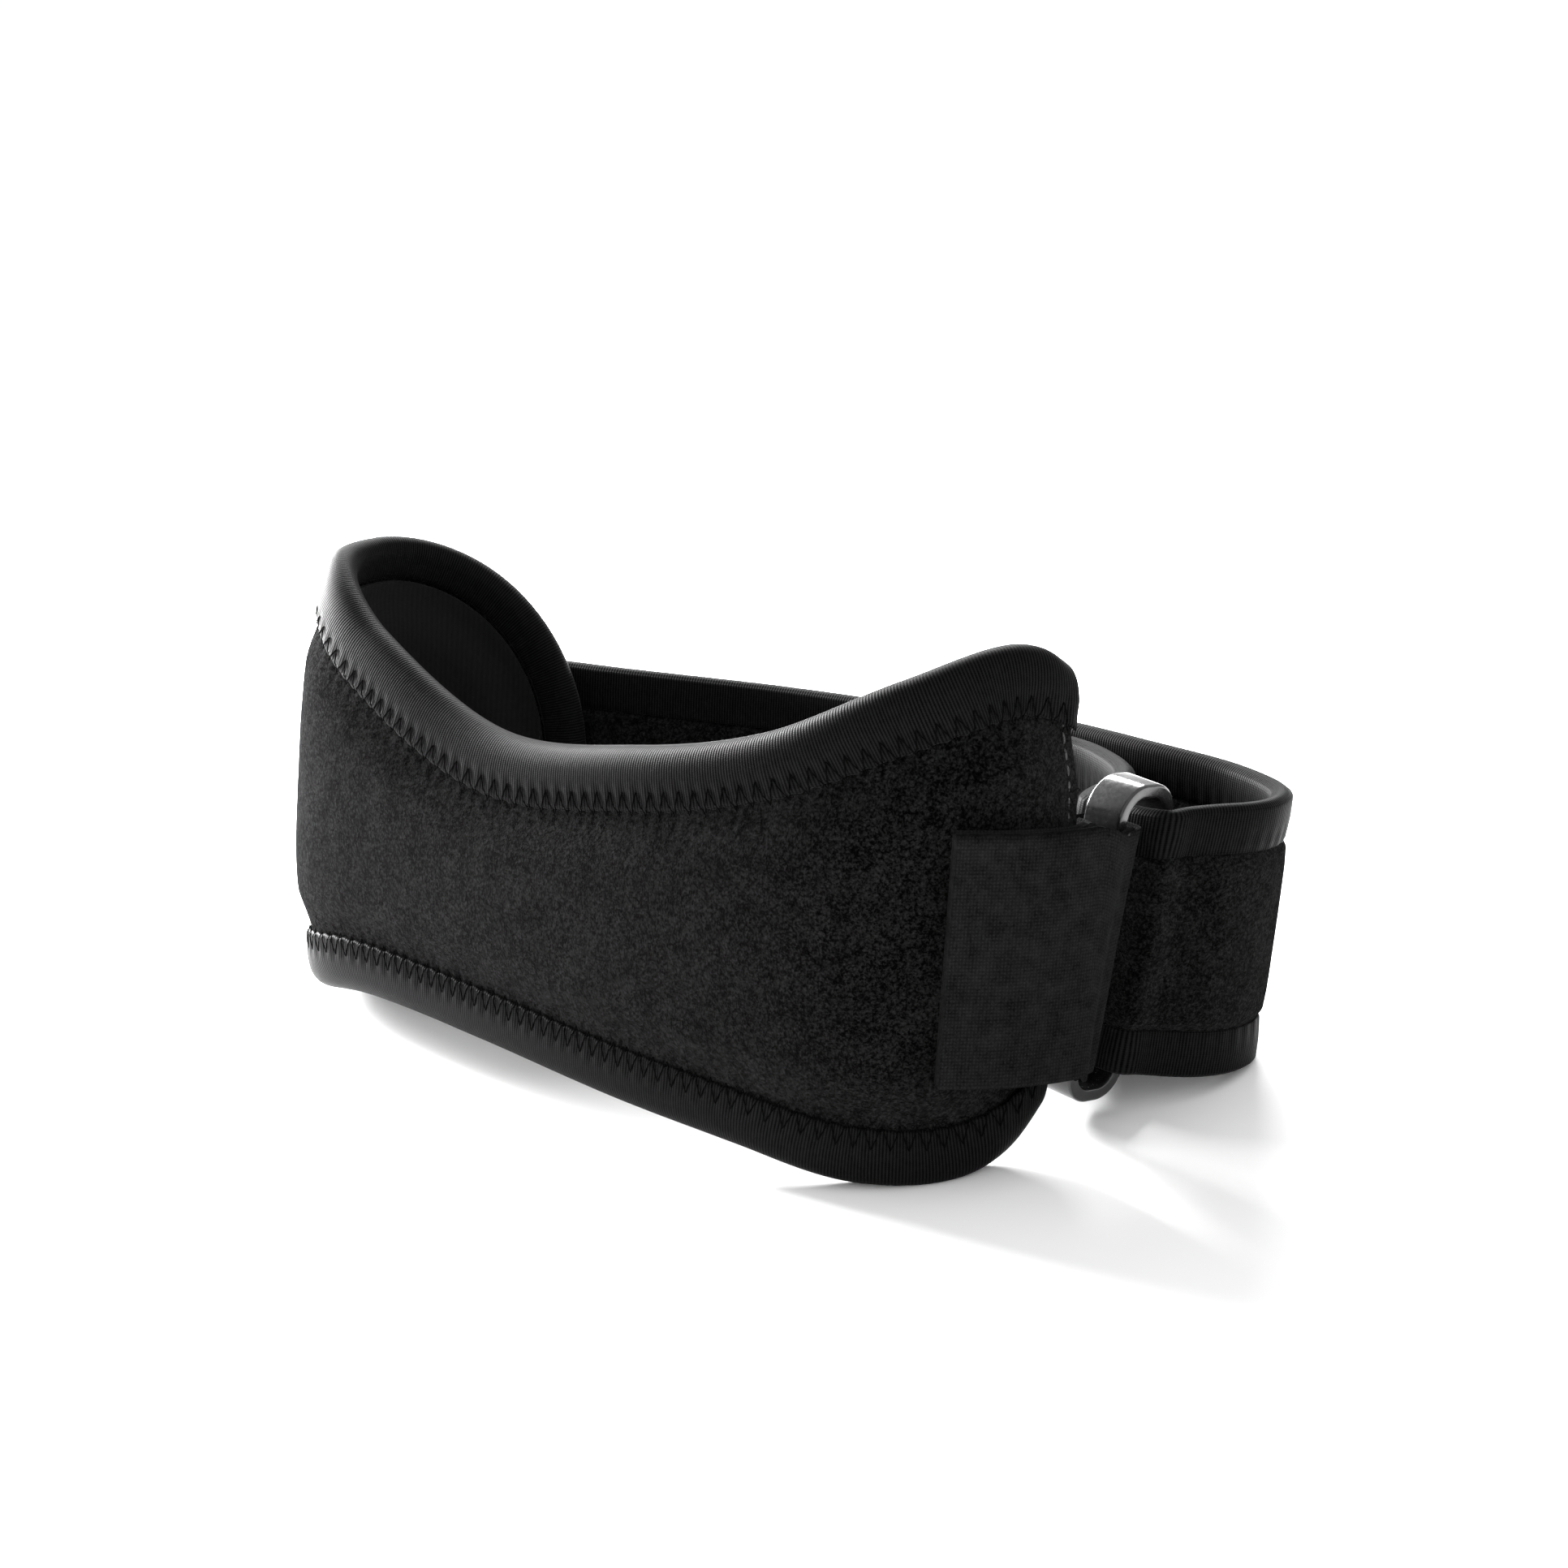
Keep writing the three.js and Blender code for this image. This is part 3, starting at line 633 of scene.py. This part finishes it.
def ribbed_tape():
    """Elastic tape with fine ribs square to its edge."""
    tape = Recipe(
        "ribbed_tape",
        (0.01, 0.01, 0.0105),
        roughness=0.45,
        specular=0.01,
        sheen=0.02,
        sheen_roughness=0.3,
    )
    u, v, _ = tape.split(tape.place("UV"))
    ribs = tape.sine(u, 0.55)
    picks = tape.sine(v, 0.4)
    waver = tape.noise(tape.place("Object"), pitch=1.2, detail=3, rough=0.6)
    height = tape.math("MULTIPLY_ADD", picks, 0.25, ribs)
    height = tape.math("MULTIPLY_ADD", waver, 0.6, height)
    # Painted shade: colour darker in the grooves between ribs and picks, with a random tone from
    # the waver
    dark, light = (0.0005, 0.0005, 0.00052), (0.0095, 0.0095, 0.0097)
    tape.color(tape.ramp(height, 0.35, 1.35, dark, light))
    tape.bump(height, depth=0.05, strength=0.8)
    return tape.material


def lining_cloth():
    """Smooth dark knit with faint upright ribs."""
    knit = Recipe(
        "lining_cloth",
        (0.006, 0.006, 0.0063),
        roughness=0.75,
        specular=0.1,
        sheen=0.02,
        sheen_roughness=0.4,
    )
    u, v, _ = knit.split(knit.place("UV"))
    ribs = knit.sine(u, 1.1)
    rows = knit.sine(v, 0.7)
    waver = knit.noise(knit.place("Object"), pitch=0.6, detail=3, rough=0.6)
    height = knit.math("MULTIPLY_ADD", rows, 0.35, ribs)
    height = knit.math("MULTIPLY_ADD", waver, 0.7, height)
    # Painted shade: colour a little darker in the grooves between ribs and rows, with a random
    # tone from the waver
    dark, light = (0.0065, 0.0065, 0.0066), (0.009, 0.009, 0.0092)
    knit.color(knit.ramp(height, 0.3, 1.6, dark, light))
    knit.bump(height, depth=0.04, strength=0.4)
    return knit.material


def woven_tape():
    """Fine plain weave of the ring's tab, a little worn."""
    tape = Recipe(
        "woven_tape",
        (0.01, 0.01, 0.0105),
        roughness=0.8,
        specular=0.0,
        sheen=0.015,
        sheen_roughness=0.4,
    )
    u, v, _ = tape.split(tape.place("UV"))
    weave = tape.math("MULTIPLY", tape.sine(u, 0.6), tape.sine(v, 0.6))
    place = tape.place("Object")
    waver = tape.noise(place, pitch=0.45, detail=4, rough=0.75)
    wear = tape.noise(place, pitch=3.5, detail=3, rough=0.6)
    height = tape.math("MULTIPLY_ADD", weave, 0.3, waver)
    height = tape.math("MULTIPLY_ADD", wear, 0.6, height)
    # Partly painted shade: colour darker in the hollows of the weave, with a random tone from the
    # waver and the wear patches
    dark, light = (0.0012, 0.0012, 0.00123), (0.0175, 0.0175, 0.0179)
    tape.color(tape.ramp(height, 0.55, 1.25, dark, light))
    tape.bump(height, depth=0.14, strength=0.8)
    return tape.material


def sewing_thread(name, dark, light):
    """Matt twisted thread from a dark to a light grey."""
    thread = Recipe(name, (dark, dark, dark), roughness=0.8, specular=0.0)
    twist = thread.noise(thread.place("Object"), pitch=0.25, detail=2, rough=0.5)
    thread.color(thread.ramp(twist, 0.3, 0.7, (dark, dark, dark), (light, light, light)))
    thread.bump(twist, depth=0.08, strength=0.7)
    return thread.material


def ring_lacquer():
    """Gloss black lacquer with a faint unevenness and fine handling marks."""
    lacquer = Recipe("ring_lacquer", (0.012, 0.012, 0.0125), roughness=0.2, specular=0.6)
    place = lacquer.place("Object")
    marks = lacquer.noise(place, pitch=0.8, detail=5, rough=0.7)
    lacquer.roughness(lacquer.ramp(marks, 0.35, 0.75, (0.16, 0.16, 0.16), (0.3, 0.3, 0.3)))
    dark, light = (0.009, 0.009, 0.0093), (0.016, 0.016, 0.0165)
    lacquer.color(lacquer.ramp(marks, 0.3, 0.8, dark, light))
    lacquer.bump(lacquer.noise(place, pitch=3, detail=2, rough=0.5), depth=0.03, strength=0.4)
    return lacquer.material


def hook_plastic():
    """Matt black hook sheet, covered in tiny hooks."""
    hooks = Recipe("hook_plastic", (0.01, 0.01, 0.01), roughness=0.5, specular=0.5)
    place = hooks.place("Object")
    stems = hooks.cells(place, 1.1)
    # Painted shade: colour lighter (0.03) on the raised hook stems and darker (0.005) in the gaps
    # between them
    dark, light = (0.03, 0.03, 0.03), (0.005, 0.005, 0.005)
    hooks.color(hooks.ramp(stems, 0.1, 0.6, dark, light))
    hooks.bump(hooks.math("SUBTRACT", 1.0, stems), depth=0.6, strength=1.0)
    return hooks.material


NAP = brushed_loop_cloth()
RIBS = ribbed_tape()
KNIT = lining_cloth()
WEAVE = woven_tape()
THREAD = sewing_thread("black_thread", 0.001, 0.004)
PALE_THREAD = sewing_thread("worn_thread", 0.03, 0.11)
LACQUER = ring_lacquer()
HOOKS = hook_plastic()


# The pad


def pad_taper(length):
    """Share of the pad's thickness at a length: its cut right end is sewn thinner."""
    return END_THINNING + (1 - END_THINNING) * smoothstep(length, 0, PAD_THICKNESS)


def stitch_wave(length):
    """Wave from 1 at each stitch to -1 between two of them."""
    return np.cos(length * 2 * math.pi / STITCH_PITCH)


def sheet_lengths(start, inset, steps, lobe_steps):
    """Lengths along the pad for a sheet that ends short of the lobe's tip by an inset."""
    straight = LOBE_START * np.arange(steps) / steps
    straight[0] = start
    last_turn = np.radians(86)
    turn = last_turn * np.arange(lobe_steps + 1) / lobe_steps
    return np.concatenate([straight, LOBE_START + (LOBE_LENGTH - inset) * np.sin(turn)])


def sheet_heights(length, inset, rows):
    """Heights from the lower to the upper edge, closer together beside the edges."""
    lower, upper = pad_edges(length, inset)
    share = (1 - np.cos(math.pi * np.arange(rows + 1) / rows)) / 2
    return lower[:, None] + (upper - lower)[:, None] * share


def pad_swell(length, height, depth):
    """Soft unevenness of the stuffed cloth: long waves, and tucks beside the seam."""
    long_wave = LONG_SWELL * np.sin(length / 19 + height / 31)
    short_wave = SHORT_SWELL * np.sin(length / 11 - height / 17)
    tucks = TUCK_DEPTH * np.sin(length * 2 * math.pi / STITCH_PITCH)
    beside = smoothstep(depth, BINDING_FACE - 1, BINDING_FACE + 1)
    fade = 1 - smoothstep(depth, BINDING_FACE + 1, BINDING_FACE + 6)
    inside = smoothstep(depth, BINDING_FACE, BINDING_FACE + 16)
    return (long_wave + short_wave) * inside + tucks * beside * fade


def pad_cloth():
    """Padded cloth of the pad as a closed cushion, thin under the tape."""
    inset = BINDING_THICKNESS + 1.6 * FOLD_GAP
    lengths = sheet_lengths(0, inset, steps=240, lobe_steps=40)
    heights = sheet_heights(lengths, inset, rows=72)
    length = np.broadcast_to(lengths[:, None], heights.shape)
    depth = distance_to_rim(length, heights)
    taper = pad_taper(length)
    half = pad_half(depth) * taper
    front = on_pad(length, heights, depth, half + pad_swell(length, heights, depth) * taper)
    back = on_pad(length, heights, depth, -half)
    rows = np.concatenate([front, back[:, ::-1]], axis=1)
    along = np.concatenate([length, length], axis=1)
    obj = rolled_band("pad_cloth", rows, along, section_lengths(rows), NAP)
    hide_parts("pad_shell")


def pad_lining():
    """Smooth lining on the side of the leg, between the backs of the folded tape."""
    inset = BINDING_BACK + 2 * CLEARANCE
    lengths = sheet_lengths(CLEARANCE, inset, steps=200, lobe_steps=32)
    heights = sheet_heights(lengths, inset, rows=48)
    length = np.broadcast_to(lengths[:, None], heights.shape)
    depth = distance_to_rim(length, heights)
    seat = -pad_half(depth) - 2 * CLEARANCE
    front = on_pad(length, heights, depth, seat)
    back = on_pad(length, heights, depth, seat - LINING_THICKNESS)
    rows = np.concatenate([front, back[:, ::-1]], axis=1)
    along = np.concatenate([length, length], axis=1)
    obj = rolled_band("pad_lining_cloth", rows, along, section_lengths(rows), KNIT)
    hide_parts("pad_lining")


def rim_frames():
    """Points of the rim with their inward directions and lengths along it."""
    steps = np.linalg.norm(np.diff(RIM, axis=0), axis=1)
    lengths = np.concatenate([[0], np.cumsum(steps)])
    samples = 900
    even = np.linspace(0, lengths[-1], samples)
    points = np.stack([np.interp(even, lengths, column) for column in RIM.T], axis=1)
    along = np.gradient(points, axis=0)
    along /= np.linalg.norm(along, axis=1)[:, None]
    square = np.stack([along[:, 1], -along[:, 0]], axis=1)
    upright = np.stack([np.zeros(len(points)), np.sign(square[:, 1])], axis=1)
    blend = smoothstep(points[:, 0], 0, BINDING_FACE * 2)[:, None]
    inward = upright * (1 - blend) + square * blend
    inward /= np.linalg.norm(inward, axis=1)[:, None]
    return points, inward, even


RIM_POINTS, RIM_INWARD, RIM_LENGTHS = rim_frames()


def on_rim(depth, out):
    """Places at depths in from the rim and ways out, one row for each rim point."""
    depth, out = np.broadcast_arrays(depth, out)
    flat = RIM_POINTS[:, None] + RIM_INWARD[:, None] * depth[..., None]
    return on_pad(flat[..., 0], flat[..., 1], depth, out)


def fold_outline(samples):
    """Outer side of the folded tape as (depth, out), from the face round to the back."""
    hollow = PAD_MARGIN / 2 + FOLD_GAP
    knots = [
        (BINDING_FACE, hollow + 0.3),
        (BINDING_FACE - 0.5, hollow + 0.62),
        (BINDING_FACE - 1.6, hollow + 0.78),
        (7.2, FOLD_RADIUS + 0.1),
        (4.8, FOLD_RADIUS + 0.25),
        (2.6, FOLD_RADIUS - 0.02),
        (0.95, FOLD_RADIUS * 0.72),
        (0.1, FOLD_RADIUS * 0.3),
        (0, 0),
        (0.1, -FOLD_RADIUS * 0.3),
        (0.95, -FOLD_RADIUS * 0.72),
        (2.6, -FOLD_RADIUS + 0.02),
        (4.8, -FOLD_RADIUS - 0.05),
        (BINDING_BACK - 1, -hollow - 0.85),
        (BINDING_BACK, -hollow - 0.25),
    ]
    return smooth_curve(knots, samples)


def pad_edge_tape():
    """Ribbed tape folded over the rim, drawn in at each stitch."""
    hollow = PAD_MARGIN / 2 + FOLD_GAP
    outer = fold_outline(samples=40)
    turn = np.linspace(0.5, -0.5, 21) * math.pi
    inner = np.stack([FOLD_RADIUS - hollow * np.cos(turn), hollow * np.sin(turn)], axis=1)
    inner = np.vstack([[BINDING_FACE, hollow], inner, [BINDING_BACK, -hollow]])
    inner = evenly(inner, len(outer) - 1)
    depth, out = outer[:, 0][None], outer[:, 1][None]
    wave = stitch_wave(RIM_LENGTHS)[:, None]
    beside = smoothstep(depth, BINDING_FACE - 5.5, BINDING_FACE - 2.5) * (out > 0)
    tucked = out - TAPE_TUCK * (1 + wave) * beside
    near_edge = smoothstep(depth, BINDING_FACE - 1.8, BINDING_FACE) * (out > 0)
    front = on_rim(depth + TAPE_SCALLOP * wave * near_edge, tucked)
    back = on_rim(inner[:, 0][None], inner[:, 1][None])
    rows = np.concatenate([front, back[:, ::-1]], axis=1)
    along = np.repeat(RIM_LENGTHS[:, None], rows.shape[1], axis=1)
    obj = rolled_band("pad_edge_tape", rows, along, section_lengths(rows), RIBS)
    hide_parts("pad_binding")


# The strap


def strap_shares(stations):
    """Stations closer together where the strap turns round the ring and at the slack."""
    fine = np.linspace(0, 1, 4001)
    away = np.linalg.norm(STRAP.at(STRAP.length * fine) - from_ring(0, RING_DEPTH / 2), axis=1)
    at_ring, near_ring, elsewhere = 3.0, 1.5, 1.0
    weight = np.where(away < RING_WIDTH * 3, near_ring, elsewhere)
    weight = np.where(away < RING_WIDTH, at_ring, weight)
    total = np.cumsum(weight)
    total = (total - total[0]) / (total[-1] - total[0])
    return np.interp(np.linspace(0, 1, stations), total, fine)


STRAP_SHARES = strap_shares(stations=620)


def strap_band(name, outer, inner, material):
    """Solid along the strap from outer and inner section points, each (up, out)."""
    share = STRAP_SHARES[:, None]
    front = on_strap(share, outer[..., 0], outer[..., 1])
    back = on_strap(share, inner[..., 0], inner[..., 1])
    rows = np.concatenate([front, back[:, ::-1]], axis=1)
    along = np.repeat(STRAP_SHARES[:, None] * STRAP.length, rows.shape[1], axis=1)
    return rolled_band(name, rows, along, section_lengths(rows), material)


def strap_cloth():
    """Cloth of the strap as a closed cushion, thin under the two tapes."""
    half = STRAP_WIDTH / 2
    edge = 1 - (STRAP_BINDING + 1.5 * CLEARANCE) / half
    fold = 1 - (STRAP_BINDING + STRAP_MARGIN / 2 + CLEARANCE) / half
    seam = 1 - STRAP_BINDING_FACE / half
    knots = [
        (edge, STRAP_MARGIN / 5),
        (fold, STRAP_MARGIN / 2),
        (seam + 0.02, STRAP_MARGIN / 2),
        (seam - 0.05, STRAP_THICKNESS / 2),
        (seam - 0.2, STRAP_THICKNESS / 2 + STRAP_CROWN - 0.05),
        (0.0, STRAP_THICKNESS / 2 + STRAP_CROWN),
    ]
    side = evenly(np.array(knots), samples=22)
    side = np.vstack([side[:-1], side[::-1] * [-1, 1]])
    outer = np.repeat(side[::-1][None], len(STRAP_SHARES), axis=0)
    inner = outer * [1, -1]
    obj = strap_band("strap_cloth", outer, inner, NAP)
    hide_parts("strap_body")


def strap_edge_tape(name, side, node):
    """Tape folded over one edge of the strap; side is 1 for the top, -1 for the bottom."""
    half = STRAP_WIDTH / 2
    hollow = STRAP_MARGIN / 2 + CLEARANCE
    skin = hollow + STRAP_BINDING
    tip = 1 - (STRAP_BINDING_FACE - CLEARANCE) / half
    samples = 30
    outer = smooth_curve(
        [
            (tip, hollow + 0.25),
            (tip + 0.4 / half, hollow + 0.55),
            (tip + 2 / half, skin - 0.05),
            (1 - 3.5 / half, skin + 0.3),
            (1 - 1.8 / half, skin + 0.18),
            (1 - 0.55 / half, skin * 0.72),
            (1, 0),
            (1 - 0.55 / half, -skin * 0.72),
            (1 - 1.8 / half, -skin - 0.05),
            (1 - 3.5 / half, -skin - 0.05),
            (tip + 0.4 / half, -hollow - 0.5),
            (tip, -hollow - 0.25),
        ],
        samples,
    )
    inner = evenly(
        np.array(
            [
                (tip, hollow),
                (1 - skin / half, hollow),
                (1 - skin * 0.62 / half, hollow * 0.8),
                (1 - STRAP_BINDING / half, 0),
                (1 - skin * 0.62 / half, -hollow * 0.8),
                (1 - skin / half, -hollow),
                (tip, -hollow),
            ]
        ),
        samples,
    )
    length = STRAP_SHARES * STRAP.length
    wave = stitch_wave(length)[:, None]
    up, out = outer[:, 0], outer[:, 1]
    beside = 1 - smoothstep(up, tip + 1.5 / half, tip + 4 / half)
    out = out - np.sign(out) * STRAP_TAPE_TUCK * (1 + wave) * beside
    outer = np.stack([np.broadcast_to(side * up, out.shape), out], axis=-1)
    inner = np.repeat((inner * [side, 1])[None], len(length), axis=0)
    obj = strap_band(name, outer, inner, RIBS)
    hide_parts(node)


# The ring and its tab


def ring_outline(width, height, radius, samples):
    """Rounded rectangle as points and outward normals, evenly round its corners."""
    points, normals = [], []
    corners = ((1, 1, 0), (-1, 1, 1), (-1, -1, 2), (1, -1, 3))
    for x, y, quarter in corners:
        centre = np.array([x * (width / 2 - radius), y * (height / 2 - radius)])
        for k in range(samples + 1):
            turn = (quarter + k / samples) * math.pi / 2
            normal = np.array([math.cos(turn), math.sin(turn)])
            points.append(centre + radius * normal)
            normals.append(normal)
    return np.array(points), np.array(normals)


def ring_loop():
    """Flat band bent to an upright oblong loop, with rounded edges."""
    width, height = RING_WIDTH - RING_BAND, RING_HEIGHT - RING_BAND
    path, normal = ring_outline(width, height, RING_CORNER - RING_BAND / 2, samples=16)
    section, _ = ring_outline(RING_BAND, RING_DEPTH, RING_EDGE, samples=5)
    count, ring = len(path), len(section)
    vertices = []
    lean = Matrix.Rotation(RING_LEAN, 3, "Y")
    for p, n in zip(path, normal):
        for out, deep in section:
            across, up = p + n * out
            place = np.array([*(across * RING_U + deep * RING_W), up])
            vertices.append(np.array(lean @ Vector(place)) + [*RING_PLAN, RING_CENTRE])
    faces = []
    for s in range(count):
        t = (s + 1) % count
        for i in range(ring):
            j = (i + 1) % ring
            faces.append((s * ring + i, s * ring + j, t * ring + j, t * ring + i))
    obj = make_piece("ring_loop", to_floor(np.array(vertices)), faces, LACQUER)
    face_outwards(obj)
    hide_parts("slide_ring")


def tab_path():
    """The tab in plan: sewn to the pad, round the ring's near limb and back over itself."""
    half = TAB_THICKNESS / 2
    on_face = PAD_BOW + PAD_THICKNESS / 2 + CLEARANCE + half
    over_face = on_face + TAB_THICKNESS + CLEARANCE
    reach = half + 2 * CLEARANCE
    knots = [
        *(PAD_PLAN.at(TAB_SEAM * share, on_face) for share in (1, 0.5, 0.06)),
        *round_limb(TAB_TURN, -RING_WIDTH / 2, reach),
        PAD_PLAN.at(-0.15 * TAB_SEAM, over_face + CLEARANCE),
        PAD_PLAN.at(0.45 * TAB_SEAM, over_face + CLEARANCE / 3),
        PAD_PLAN.at(TAB_SEAM, over_face),
    ]
    return PlanPath(smooth_curve(knots, 300))


TAB = tab_path()


def on_tab(length, up, out):
    """Places on the tab: a length, a share of half its height and a way out."""
    length, up, out = np.broadcast_arrays(length, up, out)
    plan = TAB.at(length, out)
    beyond = TAB.at(length) @ RING_U
    hold = smoothstep(beyond, 0, RING_OFFSET - RING_WIDTH / 2 - RING_BAND)
    height = TAB_CENTRE + (RING_CENTRE - TAB_CENTRE) * hold + up * TAB_HEIGHT / 2
    return lean_with_ring(np.concatenate([plan, height[..., None]], axis=-1), hold)


def tab_tape():
    """Woven tape round the ring's near limb, creased a little."""
    half = TAB_THICKNESS / 2
    stations, flat_points, edge_points = 300, 13, 4
    lengths = np.linspace(0, TAB.length, stations)[:, None]
    turn = np.linspace(0, 0.5, edge_points) * math.pi
    round_edge = 1 - half / (TAB_HEIGHT / 2) * (1 - np.cos(turn))
    inner = np.linspace(0, round_edge[0], flat_points, endpoint=False)
    up = np.concatenate([inner, round_edge])
    out = np.concatenate([np.full(flat_points, half), half * np.cos(turn)])
    out[-1] = TAB_EDGE
    up = np.concatenate([-up[::-1], up[1:]])
    out = np.concatenate([out[::-1], out[1:]])
    crease = TAB_CREASE * np.sin(lengths / 5.3) * np.sin(up[None] * 2.6 + 0.8)
    front = on_tab(lengths, up[None], out[None] + crease)
    back = on_tab(lengths, up[None], -out[None] + crease)
    rows = np.concatenate([front, back[:, ::-1]], axis=1)
    along = np.repeat(lengths, rows.shape[1], axis=1)
    obj = rolled_band("tab_tape", rows, along, section_lengths(rows), WEAVE)
    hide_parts("ring_tab")


# Stitches


def thread_runs(name, runs, radius, thread):
    """Threads as thin tubes, thinner at their ends; a run is a worn-frame polyline."""
    sides = 6
    end_share = 0.55
    vertices, faces = [], []
    for run in runs:
        run = np.asarray(run)
        along = np.gradient(run, axis=0)
        along /= np.linalg.norm(along, axis=1)[:, None]
        first = np.cross(along, [0.0, 0.0, 1.0])
        upright = np.linalg.norm(first, axis=1) < 0.2
        first[upright] = np.cross(along[upright], [1.0, 0.0, 0.0])
        first /= np.linalg.norm(first, axis=1)[:, None]
        second = np.cross(along, first)
        base = len(vertices)
        for k, point in enumerate(run):
            thick = radius * (end_share if k in (0, len(run) - 1) else 1)
            for i in range(sides):
                turn = 2 * math.pi * i / sides
                away = math.cos(turn) * first[k] + math.sin(turn) * second[k]
                vertices.append(point + thick * away)
        for k in range(len(run) - 1):
            for i in range(sides):
                j = (i + 1) % sides
                a, b = base + k * sides, base + (k + 1) * sides
                faces.append((a + i, a + j, b + j, b + i))
        faces.append(tuple(base + i for i in range(sides))[::-1])
        faces.append(tuple(base + (len(run) - 1) * sides + i for i in range(sides)))
    obj = make_piece(name, to_floor(np.array(vertices)), faces, thread)


def stitch(place, start, end, lift):
    """One stitch from start to end in a flat layout, arched over the cloth by a lift."""
    points = 6
    share = np.linspace(0, 1, points)
    arch = 4 * share * (1 - share)
    flat = np.array(start)[None] * (1 - share)[:, None] + np.array(end)[None] * share[:, None]
    return place(flat[:, 0], flat[:, 1], lift * arch - STITCH_SINK)


FACE_OUTLINE = fold_outline(samples=60)[:30]


def rim_place(length, depth, lift):
    """Places on the tape or cloth of the pad's face beside the rim."""
    x = np.interp(length, RIM_LENGTHS, RIM_POINTS[:, 0])
    y = np.interp(length, RIM_LENGTHS, RIM_POINTS[:, 1])
    inward = np.stack([np.interp(length, RIM_LENGTHS, column) for column in RIM_INWARD.T], axis=-1)
    tape = np.interp(depth, FACE_OUTLINE[::-1, 0], FACE_OUTLINE[::-1, 1])
    beside = np.maximum(pad_half(depth), tape - 2 * STITCH_SINK)
    surface = np.where(depth < BINDING_FACE, tape, beside)
    return on_pad(x + inward[:, 0] * depth, y + inward[:, 1] * depth, depth, surface + lift)


def pad_edge_stitches():
    """Zigzag of stitches along the tape's edge on the pad's face."""
    runs = []
    margin = 2
    pitch = STITCH_PITCH / 2
    shallow, deep = (BINDING_FACE + reach for reach in STITCH_REACH)
    for i in range(int((RIM_LENGTHS[-1] - 2 * margin) / pitch)):
        start = margin + i * pitch
        ends = (shallow, deep) if i % 2 else (deep, shallow)
        runs.append(stitch(rim_place, (start, ends[0]), (start + pitch, ends[1]), STITCH_LIFT))
    thread_runs("pad_edge_stitches", runs, STITCH_RADIUS, THREAD)


def end_place(length, height, lift):
    """Places on the cloth of the pad's face beside its right end."""
    depth = distance_to_rim(length, height)
    return on_pad(length, height, depth, pad_half(depth) * pad_taper(length) + lift)


def pad_end_stitches():
    """Row of stitches down the pad's cut right end."""
    lower, upper = pad_edges(END_SEAM)
    heights = np.arange(lower + BINDING_FACE, upper - BINDING_FACE, END_PITCH)
    runs = []
    for height in heights:
        ends = (END_SEAM, height), (END_SEAM, height + END_STITCH_SHARE * END_PITCH)
        runs.append(stitch(end_place, *ends, END_STITCH_LIFT))
    thread_runs("pad_end_stitches", runs, END_STITCH_RADIUS, PALE_THREAD)


# The camera and the studio


# Camera fitted to the photograph's outline: places in millimetres, roll in degrees
CAMERA_LENS = 78.91
CAMERA_PLACE = (20.8, -587.2, 275.7)
CAMERA_TARGET = (3.56, 0, 49.9)
CAMERA_ROLL = 5.17

# Width of the floor in metres, and the strength of the white air
FLOOR_WIDTH = 6.0
AIR_STRENGTH = 1.05


def photo_camera():
    """Camera at the photograph's viewing angle."""
    camera = bpy.data.cameras.new("camera")
    camera.lens = CAMERA_LENS
    camera.sensor_width = 36
    eye = bpy.data.objects.new("camera", camera)
    bpy.context.scene.collection.objects.link(eye)
    eye.location = Vector(CAMERA_PLACE) * MM
    target = Vector(CAMERA_TARGET) * MM
    level = (target - eye.location).to_track_quat("-Z", "Y").to_matrix()
    roll = Matrix.Rotation(math.radians(CAMERA_ROLL), 3, "Z")
    eye.rotation_mode = "QUATERNION"
    eye.rotation_quaternion = (level @ roll.inverted()).to_quaternion()
    camera.clip_start = 0.01
    bpy.context.scene.camera = eye


def area_light(name, place, target, size, power):
    """Soft rectangular light that faces a target; metres and watts."""
    data = bpy.data.lights.new(name, "AREA")
    data.shape = "RECTANGLE"
    data.size, data.size_y = size
    data.energy = power
    light = bpy.data.objects.new(name, data)
    light.location = place
    light.rotation_mode = "QUATERNION"
    aim = Vector(target) - Vector(place)
    light.rotation_quaternion = aim.to_track_quat("-Z", "Y")
    bpy.context.scene.collection.objects.link(light)


def studio():
    """Pale floor, even white air, a key at the rear left and a wide soft light behind."""
    floor_material = Recipe("studio_floor", (0.98, 0.98, 0.98), roughness=0.9, specular=0.1)
    half = FLOOR_WIDTH / 2
    corners = [(-half, -half, 0), (half, -half, 0), (half, half, 0), (-half, half, 0)]
    mesh = bpy.data.meshes.new("studio_floor")
    mesh.from_pydata(corners, [], [(0, 1, 2, 3)])
    mesh.materials.append(floor_material.material)
    floor = bpy.data.objects.new("studio_floor", mesh)
    bpy.context.scene.collection.objects.link(floor)
    world = bpy.data.worlds.new("studio_air")
    world.use_nodes = True
    air = world.node_tree.nodes["Background"]
    air.inputs["Color"].default_value = (1, 1, 1, 1)
    air.inputs["Strength"].default_value = AIR_STRENGTH
    bpy.context.scene.world = world
    bpy.context.scene.view_settings.view_transform = "Standard"
    area_light("key", (-0.38, 0.4, 0.2), target=(-0.03, 0, 0.05), size=(0.3, 0.3), power=45)
    area_light("back", (-0.05, 0.6, 0.4), target=(0, 0, 0.05), size=(0.6, 0.15), power=15)


photo_camera()
studio()
pad_cloth()
pad_lining()
pad_edge_tape()
strap_cloth()
strap_edge_tape("strap_top_tape", 1, "strap_top_binding")
strap_edge_tape("strap_bottom_tape", -1, "strap_bottom_binding")
ring_loop()
tab_tape()
pad_edge_stitches()
pad_end_stitches()
hook_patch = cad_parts["hook_patch"]
hook_patch.data.materials.clear()
hook_patch.data.materials.append(HOOKS)
